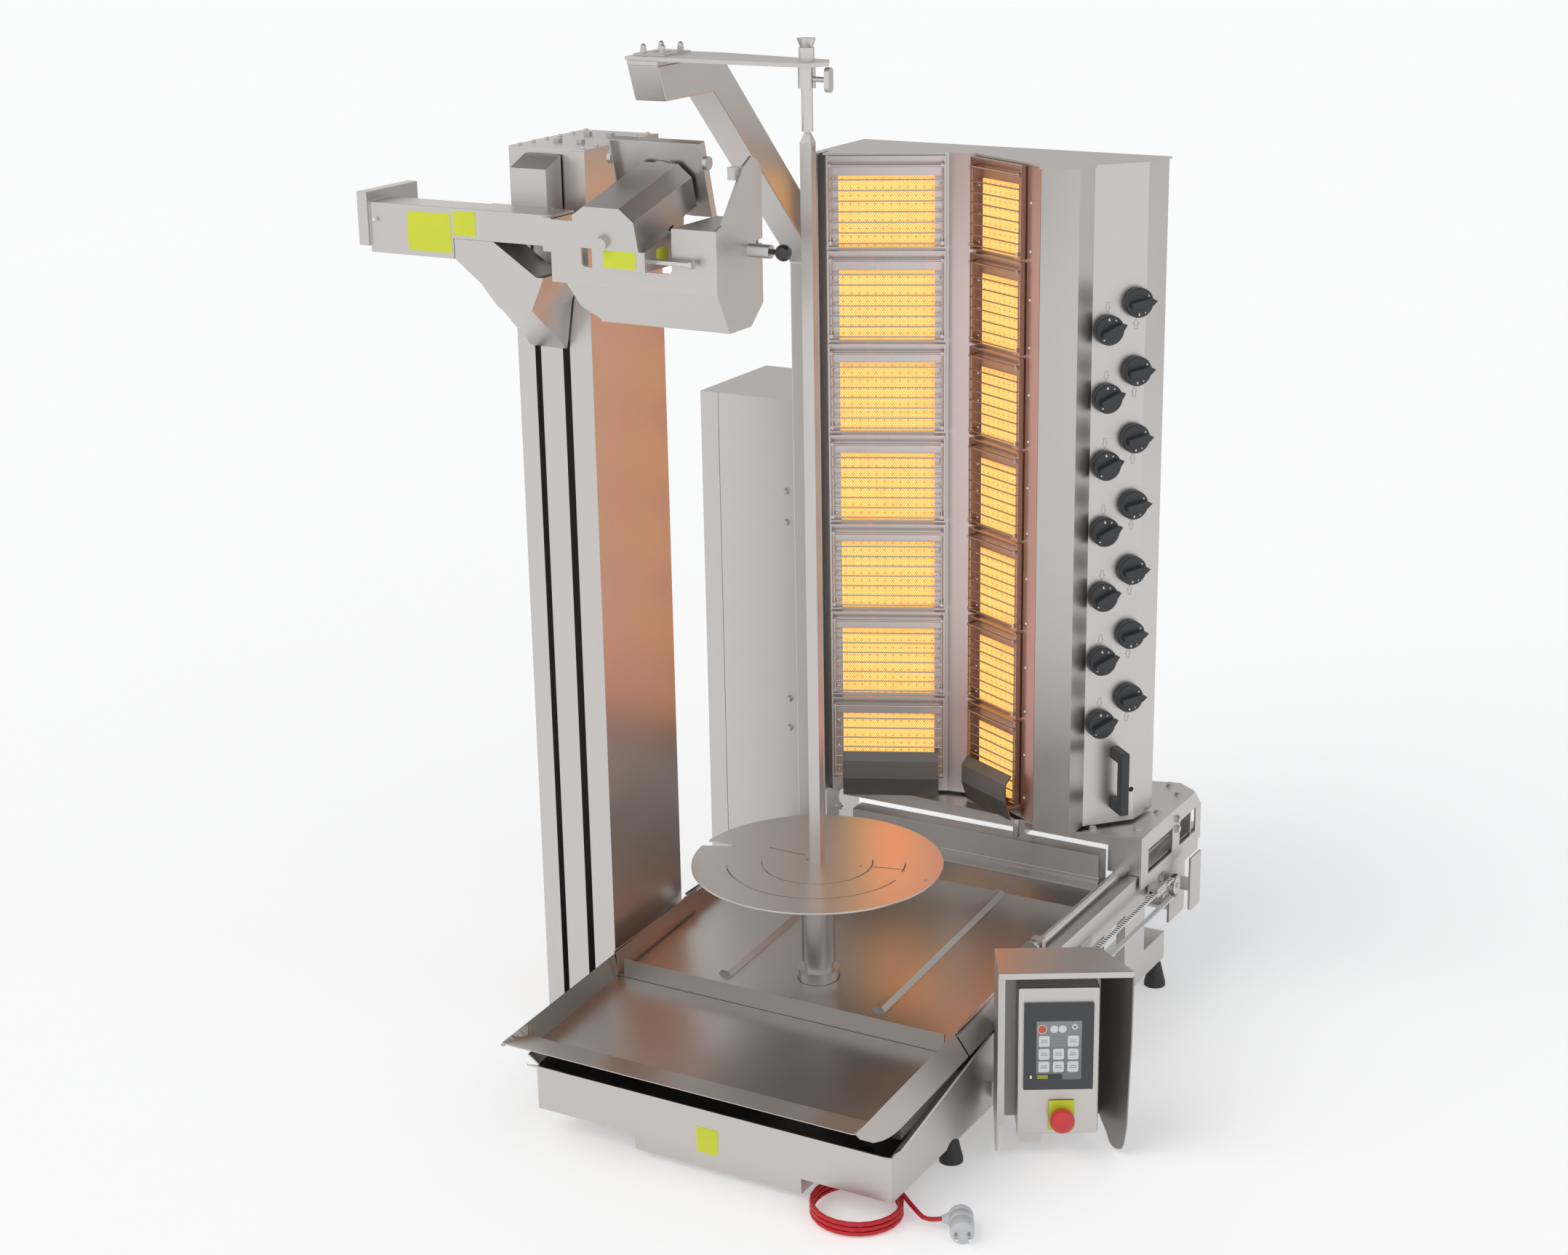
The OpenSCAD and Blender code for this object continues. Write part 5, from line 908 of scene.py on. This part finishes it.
# touch screen, stop button and the tab under the control box
keySpots = [(39.6, 199.7), (83.8, 199.7), (39.6, 178.0), (61.6, 178.0), (83.8, 178.0), (39.6, 156.8),
            (61.6, 156.8), (83.8, 156.8)]
panelSettings = {
    "origin": (381.0, -63.0),
    "turn": 30.0,
    "screenFront": 5.0,
    # levels on the screen start at its front
    "icon": (36.4, 220.0, 6.4),
    "iconLevels": (0.0, 0.9, 0.5),
    # X, Y, outer and inner radius, height
    "rings": [(36.4, 220.0, 7.3, 6.5, 1.0), (85.9, 223.3, 4.4, 2.9, 0.7)],
    "ringHead": [(84.9, 228.9), (84.9, 225.1), (88.1, 227.0)],
    "ringHeadLevels": (0.0, 0.8),
    "roundSteps": 28,
    "cornerSteps": 7,
    "boxes": [
        # piece, corner, levels, then X, Y, width and height of each box
        ("glass", 0.8, (-0.2, 0.3, 0.0), [(62.3, 184.0, 68.6, 98.0)]),
        ("keys", 3.2, (0.0, 0.9, 0.5), [(x, y, 17.4, 18.6) for x, y in keySpots]),
        ("bars", 0.4, (0.5, 1.1, 0.0), [(x, y + 2.0, 9.0, 1.2) for x, y in keySpots]),
        ("bars", 0.4, (0.5, 1.1, 0.0), [(x, y - 1.4, 11.0, 1.2) for x, y in keySpots]),
        ("keys", 5.4, (0.0, 0.9, 0.5), [(54.4, 220.0, 12.2, 12.6), (67.2, 220.0, 12.6, 12.6)]),
        ("marks", 0.4, (0.0, 0.3, 0.0), [(20.0, 139.7, 3.0, 5.2)]),
        ("strip", 0.5, (0.0, 0.55, 0.0), [(48.1, 140.0, 39.2, 9.0)]),
        ("bars", 0.5, (0.0, 0.5, 0.0), [(61.5, 203.5, 22.0, 1.3), (61.5, 198.5, 24.0, 1.3),
                                        (61.5, 193.5, 23.0, 1.3)]),
        ("lit_bars", 0.4, (0.3, 0.8, 0.0), [(38.0, 141.6, 16.0, 1.5), (38.0, 138.2, 16.0, 1.5)]),
    ],
    "screenFinishes": {"glass": "glass", "keys": "key", "icon": "icon", "marks": "white", "strip": "gloss",
                       "bars": "printed", "lit_bars": "sticker"},
    "stop": (68.0, 70.0),
    "stopPlate": (40.0, 50.0, 1.6, 73.0),
    "stopPlateHole": 9.6,
    "stopPlateLevels": (2.1, 2.7),
    # the cap is hollow, so that it goes down over the collar
    "stopCap": [(6.2, 8.0), (6.2, 16.0), (13.4, 16.0), (13.4, 10.4), (18.6, 10.2), (19.0, 11.6), (19.0, 19.6),
                (18.2, 22.4), (15.8, 24.4), (11.0, 25.5), (5.0, 25.9), (0.4, 26.0)],
    "stopCollar": [(6.6, 2.4), (12.4, 2.4), (12.4, 9.6), (11.6, 10.5), (6.6, 10.5)],
    "box": ((62.0, 163.0), 124.0, 246.0, 56.0),
    "boxCorner": 3.0,
    "lidDeep": 14.0,
    "lidGap": 0.7,
    "lidCorner": 3.5,
    "lidEdge": 1.6,
    "bodyIn": 1.6,
    # middle, width, depth and corner, then the post's middle and radius, and the levels
    "sleeve": ((62.0, 85.5), 50.0, 59.0, 5.0, (62.0, 90.0), 12.8, (100.0, 246.0)),
    "roofFront": (-32.0, 172.0, -22.0, 321.0),
    "roofBack": (-32.0, 128.0, 56.0, 327.0),
    "sheet": 2.0,
    "lip": (204.0, 10.0, 4.0, 70.0, 316.6),
    "lipLevels": (21.0, 23.6, 0.8),
    "wing": [(-22, 319), (-21, 200), (-15, 60), (-9, 24), (-3, 13), (5, 9), (15, 9), (22, 14), (27, 24), (56, 62),
             (56, 325)],
    "flange": [(-31.0, 53.0), (-19.5, 53.0), (-19.5, 316.0), (-31.0, 316.0)],
    "flangeLevels": (-4.0, -2.0, 0.4),
    "backPlate": [(-30.0, 47.0), (140.0, 47.0), (128.0, 322.0), (-30.0, 322.0)],
    "backLevels": (-50.0, -48.0),
    "shadeWallGap": 0.2,
    "tab": [(6.5, 24.0), (37.0, 24.0), (38.6, 25.6), (42.0, 40.2), (3.0, 40.2), (5.0, 25.6)],
    "tabLevels": (-7.0, -5.0, 0.3),
}


def makePanel(s):
    across = (math.cos(math.radians(s["turn"])), math.sin(math.radians(s["turn"])), 0)
    face = faceAt((*s["origin"], 0), across)
    plan = faceAt((*s["origin"], 0), across, (-across[1], across[0], 0))
    (x, y), wide, high, deep = s["box"]
    body = Shape("control_box_body")
    inside = (wide - s["bodyIn"], high - s["bodyIn"])
    body.plate(face, roundedBox(*inside, s["boxCorner"], x, y), -deep, -s["lidDeep"])
    lid = roundedBox(wide, high, s["lidCorner"], x, y)
    body.plate(face, lid, s["lidGap"] - s["lidDeep"], 0.0, s["lidEdge"], True)
    middle, wide, deep, corner, post, radius, levels = s["sleeve"]
    outer = roundedBox(wide, deep, corner, *middle, s["cornerSteps"])
    turns = [math.atan2(p[1] - post[1], p[0] - post[0]) for p in outer]
    inner = [(post[0] + radius * math.cos(a), post[1] + radius * math.sin(a)) for a in turns]
    body.frame(plan, outer, inner, *levels)
    body.link("upright", "panel", "steel", ("panel_box",))
    hood = Shape("control_box_hood")
    (a, b, v, z), (c, d, w, y) = s["roofFront"], s["roofBack"]
    hood.rings(plan, [[(a, v, z - t), (b, v, z - t), (d, w, y - t), (c, w, y - t)] for t in (s["sheet"], 0.0)],
               smooth=False)
    hood.plate(face, roundedBox(*s["lip"]), *s["lipLevels"], True)
    hood.rings(plan, [[(c + t, p, q) for p, q in s["wing"]] for t in (0.0, s["sheet"])], smooth=False)
    hood.link("across", "panel", "steel")
    # painted shade: the hood's inner right wall and its back wall are dark steel where shade falls inside the hood
    shadedWalls = Shape("control_box_painted_shade")
    slant = (b - d) / (w - v)
    shadedWalls.rings(plan, [[(b - t - (p - v) * slant, p, q) for p, q in s["wing"]]
                        for t in (s["sheet"] + s["shadeWallGap"], s["shadeWallGap"])], smooth=False)
    shadedWalls.plate(face, s["backPlate"], *s["backLevels"])
    shadedWalls.link("darkSteelAndShade", "panel", "steel")
    Shape("control_box_flange").plate(face, s["flange"], *s["flangeLevels"]).link("upright", "panel", "steel")
    Shape("box_tab").plate(face, s["tab"], *s["tabLevels"]).link("upright", "panel", "steel")
    makeScreen(s, face)
    makeStop(s, face)
    print("control box made")


def makeScreen(s, face):
    pieces = {name: Shape(f"screen_{name}") for name in s["screenFinishes"]}
    front = face @ Matrix.Translation((0, 0, s["screenFront"]))
    x, y, radius = s["icon"]
    pieces["icon"].plate(front, circleOf(radius, s["roundSteps"], x, y), *s["iconLevels"], True)
    for x, y, outer, inner, high in s["rings"]:
        rims = [circleOf(radius, s["roundSteps"], x, y) for radius in (outer, inner)]
        pieces["marks"].frame(front, *rims, 0.0, high)
    pieces["marks"].plate(front, s["ringHead"], *s["ringHeadLevels"])
    for name, corner, levels, boxes in s["boxes"]:
        for x, y, wide, tall in boxes:
            pieces[name].plate(front, roundedBox(wide, tall, corner, x, y), *levels, smooth=levels[-1] > 0)
    for name, finish in s["screenFinishes"].items():
        pieces[name].link(finish, "panel", "screen")


def makeStop(s, face):
    u, z = s["stop"]
    wide, high, corner, middle = s["stopPlate"]
    outer = roundedBox(wide, high, corner, u, middle, s["cornerSteps"])
    turns = [math.atan2(p[1] - z, p[0] - u) for p in outer]
    inner = [(u + s["stopPlateHole"] * math.cos(a), z + s["stopPlateHole"] * math.sin(a)) for a in turns]
    Shape("stop_label").frame(face, outer, inner, *s["stopPlateLevels"]).link("sticker", "panel", "screen")
    spot = face @ Matrix.Translation((u, z, 0))
    Shape("stop_cap").turned(spot, s["stopCap"], count=56).link("red", "e_stop", "red_button", ("e_stop",))
    collar = [[(x, y, level) for x, y in circleOf(radius, count=40)] for radius, level in s["stopCollar"]]
    Shape("stop_collar").rings(spot, collar, closed=True).link("gloss", "panel", "black_plastic")


# plug with its pins, where the cord ends
plugSettings = {
    "body": [(1.0, -15.0), (15.5, -15.0), (18.0, -14.0), (19.0, -11.5), (19.0, -3.2), (18.3, -2.6), (18.3, -1.4),
             (19.0, -0.8), (19.0, 10.6), (18.6, 12.4), (17.6, 13.2), (17.6, 15.6), (18.0, 16.2), (18.0, 35.6),
             (17.2, 37.8), (15.4, 38.8), (1.0, 39.0)],
    "pin": [(2.4, 38.6), (2.4, 54.5), (2.1, 56.4), (1.3, 57.7), (0.3, 58.0)],
    "pinGap": 19.0,
    "neck": [(10.0, -6.0), (9.4, -16.0), (8.6, -19.4), (8.0, -20.0), (8.0, -21.6), (7.2, -22.0), (7.2, -23.4),
             (6.8, -23.8), (6.8, -25.2), (6.2, -25.6), (6.2, -28.0), (4.1, -28.2)],
}


def makePlug(s):
    turn = math.radians(cordSettings["plugTurn"])
    out = Vector((math.cos(turn), math.sin(turn), 0))
    along = Vector((-math.sin(turn), math.cos(turn), 0))
    face = faceAt(cordSettings["plugAt"], along, (0, 0, 1))
    body = Shape("plug_body").turned(face, s["body"], count=56)
    neckFace = faceAt(plugPoint(cordSettings, cordSettings["plugEntry"][0], 0), out, (0, 0, 1))
    body.rings(neckFace, [[(x, y, -level) for x, y in circleOf(radius, count=32)] for radius, level in s["neck"]])
    bodyPiece = body.link("plug", "base", "grey_plug", ("plug",))
    pins = Shape("plug_pins")
    for side in (-1, 1):
        pins.turned(face @ Matrix.Translation((side * s["pinGap"] / 2, 0, 0)), s["pin"], count=20)
    print("plug made")
    return bodyPiece, pins.link("bright", "base", "steel")


# bare yellow labels, where the machine has its labels
labelSettings = {
    "corner": 3.0,
    "levels": (0.0, 0.35, 0.12),
    # name, body, middle on its face in mm, direction across, width, height
    "rows": [
        ("label_functions", "lift", (-547.5, -195.0, 1389.0), (1, 0, 0), 81.0, 59.0),
        ("label_arm", "lift", (-481.5, -195.0, 1405.8), (1, 0, 0), 41.0, 37.0),
        ("label_cutter", "head", (-178.0, -238.0, 1379.5), (1, 0, 0), 56.0, 25.0),
        ("label_cutter_side", "head", (-135.0, -191.0, 1383.0), (0, 1, 0), 30.0, 22.0),
        ("label_base", "base", (-2.2, -348.0, 67.5), (1, 0, 0), 38.0, 43.0),
    ],
}


def makeLabels(s):
    for name, body, middle, across, wide, high in s["rows"]:
        label = Shape(name).plate(faceAt(middle, across), roundedBox(wide, high, s["corner"]), *s["levels"])
        label.link("sticker", body, "screen")
    print("labels made")


# clips and rivets of the burner units
unitSettings = {
    "clip": (6.0, 6.0, 5.0),
    "clipIn": 7.25,
    "clipFromTop": (15.0, 141.0),
    "clipOut": 15.5,
    "rivet": (5.0, 5.0, 3.0),
    "rivetIn": 11.5,
    "rivetFromTop": (46.0, 92.0, 138.0),
    "rivetOut": 3.0,
    "stripRivet": (6.5, 6.5, 4.0),
    "stripOut": 9.0,
    "stripRows": [380.0 + k * 77.5 for k in range(14)],
}


def makeUnitDetails(s):
    for side in ("left", "right"):
        width = flankSettings[side][2]
        rivets, clips = [], []
        for row in range(flankSettings["rows"]):
            top = flankSettings["top"] - row * flankSettings["rowPitch"]
            for u in (s["rivetIn"], width - s["rivetIn"]):
                rivets += [onFlank(side, u, -s["rivetOut"], top - drop) for drop in s["rivetFromTop"]]
            for u in (s["clipIn"], width - s["clipIn"]):
                clips += [onFlank(side, u, -s["clipOut"], top - drop) for drop in s["clipFromTop"]]
        ahead = flankNormal(side)
        scatter(f"unit_rivets_{side}", "ball", s["rivet"], ahead, rivets, "bright", "burners", True)
        scatter(f"unit_clips_{side}", "stud", s["clip"], ahead, clips, "frameSteel", "burners")
    strip = [onFlank("right", width + s["stripOut"], -s["rivetOut"], z) for z in s["stripRows"]]
    scatter("strip_rivets", "ball", s["stripRivet"], ahead, strip, "bright", "burners", True)
    print("unit details made")


# sliding pan with its roof-shaped sides, and the same sides along the table
panSettings = {
    "ridgeX": 306.0,
    "ridge": (204.0, 0.063),
    "front": -443.0,
    "wing": (24.0, 33.0),
    "roundFrom": -345.0,
    "narrowest": 0.04,
    "ridgeAbove": 0.5,
    "wallX": 300.0,
    # Y and Z along the floor, which then rises evenly
    "floor": [(-443.0, 202.5), (-441.0, 202.3), (-420.0, 198.6), (-400.0, 195.2), (-385.0, 192.8), (-376.0, 181.0),
              (-367.0, 169.4)],
    "floorSlope": 0.068,
    "stations": (-345.0, -300.0, -220.0, -130.0),
    "sheet": 1.6,
    "sideBack": 125.0,
    "sideFront": -125.5,
    "sideLow": 24.0,
    "sideIn": 4.4,
    "sideSkin": 0.2,
}


def ridgeHeight(s, y):
    return s["ridge"][0] + s["ridge"][1] * (y - s["front"])


def panSection(s, y, floor):
    # the wings get narrower in a quarter round towards the front
    ridge = max(ridgeHeight(s, y), floor + s["ridgeAbove"])
    share = max(0.0, (s["roundFrom"] - y) / (s["roundFrom"] - s["front"]))
    wide = max(s["narrowest"], math.sqrt(max(0.0, 1.0 - share * share)))
    tip = (s["ridgeX"] + s["wing"][0] * wide, ridge - s["wing"][1] * wide)
    half = [(s["wallX"], floor), (s["ridgeX"], ridge), tip]
    return folded([(-x, z) for x, z in reversed(half)] + half, 0, -s["sheet"])


def makePan(s):
    lastY, lastZ = s["floor"][-1]
    stations = s["floor"] + [(y, lastZ + s["floorSlope"] * (y - lastY)) for y in s["stations"]]
    rings = [[(x, y, z) for x, z in panSection(s, y, floor)] for y, floor in stations]
    Shape("pan_sheet").rings(fromSpit, rings, smooth=False).link("table", "meat_pan", "steel", ("meat_pan",))
    sides = Shape("table_sides")
    for side in (-1, 1):
        rings = []
        for y in (s["sideFront"], s["sideBack"]):
            ridge = ridgeHeight(s, y)
            outer = [(s["wallX"] + s["sideIn"], ridge - s["sideLow"]), (s["ridgeX"], ridge),
                     (s["ridgeX"] + s["wing"][0], ridge - s["wing"][1])]
            rings.append([(side * x, y, z) for x, z in folded(outer, s["sideSkin"], -s["sheet"])])
        sides.rings(fromSpit, rings, smooth=False)
    sides.link("table", "base", "steel")
    print("pan made")


# stepped channel that closes the gap between the table and the rear beam
channelSettings = {
    "profile": [(427.0, 228.5), (427.0, 238.0), (433.5, 238.0), (433.5, 250.0), (437.2, 250.0), (437.2, 258.5)],
    "skin": (0.3, 1.5),
    "ends": (-300.0, 298.0),
}


def makeChannel(s):
    rings = [[(x, y, z) for y, z in folded(s["profile"], *s["skin"])] for x in s["ends"]]
    Shape("rear_channel").rings(fromSpit, rings, smooth=False).link("across", "base", "steel")
    print("rear channel made")


# outer sheets of the deflectors under the lowest units
deflectorSettings = {
    "profile": [(337.0, 18.6), (372.0, 30.6), (404.0, 30.6), (418.0, 18.6)],
    "skin": (0.0, -0.55),
    "ends": {"left": (20.0, 186.0), "right": (8.0, 131.0)},
}


def makeDeflectors(s):
    for side, ends in s["ends"].items():
        rings = [[(u, z, out) for z, out in folded(s["profile"], *s["skin"])] for u in ends]
        sheet = Shape(f"deflector_{side}").rings(flankFace(side, 0, 0), rings, smooth=False)
        sheet.link("deflector", "burners", "guard_steel")
    print("deflectors made")


# small screws of the sheet metal
screwSettings = [
    # name, body, way the head looks, head size, places in mm
    ("screws_arm", "lift", (0, -1, 0), (6.0, 6.0, 2.2), [(-648, -200.4, 1402)]),
    ("screws_head", "head", (0, -1, 0), (5.0, 5.0, 2.0), [(-171, -238.6, 1403)]),
]


def makeScrews(rows):
    for name, body, facing, size, points in rows:
        scatter(name, "ball", size, facing, [place(*p) for p in points], "bright", body, True)
    print("screws made")


# teeth on the inner face of the toothed belt, on both runs, white as a painted glint
def makeBeltToothGlints(s):
    count = int((s["to"] - s["from"]) / s["pitch"])
    points = [place(s["middle"], s["from"] + k * s["pitch"], z) for z in s["runs"] for k in range(count)]
    scatter("belt_teeth_painted_glints", "block", s["tooth"], (0, 0, 1), points, "white", "base")
    print("belt teeth made")


for node, width in edgeSettings.items():
    softEdges(node, width)
print("sheet edges rounded")
makeKnobs(knobSettings)
makePanel(panelSettings)
plugPieces = makePlug(plugSettings)
makeLabels(labelSettings)
makeUnitDetails(unitSettings)
makePan(panSettings)
makeChannel(channelSettings)
makeDeflectors(deflectorSettings)
makeScrews(screwSettings)
makeBeltToothGlints(beltSettings)


def makeCord(s):
    points = cordRoute(s)
    curve = bpy.data.curves.new("mains_cord", "CURVE")
    curve.dimensions = "3D"
    line = curve.splines.new("POLY")
    line.points.add(len(points) - 1)
    for spot, p in zip(line.points, points):
        spot.co = (*p, 1.0)
    curve.bevel_depth = s["diameter"] / 2000
    curve.bevel_resolution = s["roundness"]
    curve.use_fill_caps = True
    cord = setOut("mains_cord", curve)
    curve.materials.append(finishes["redCord"])
    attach(cord, "base")
    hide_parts("cord_tube", "cord_coil")


makeCord(cordSettings)
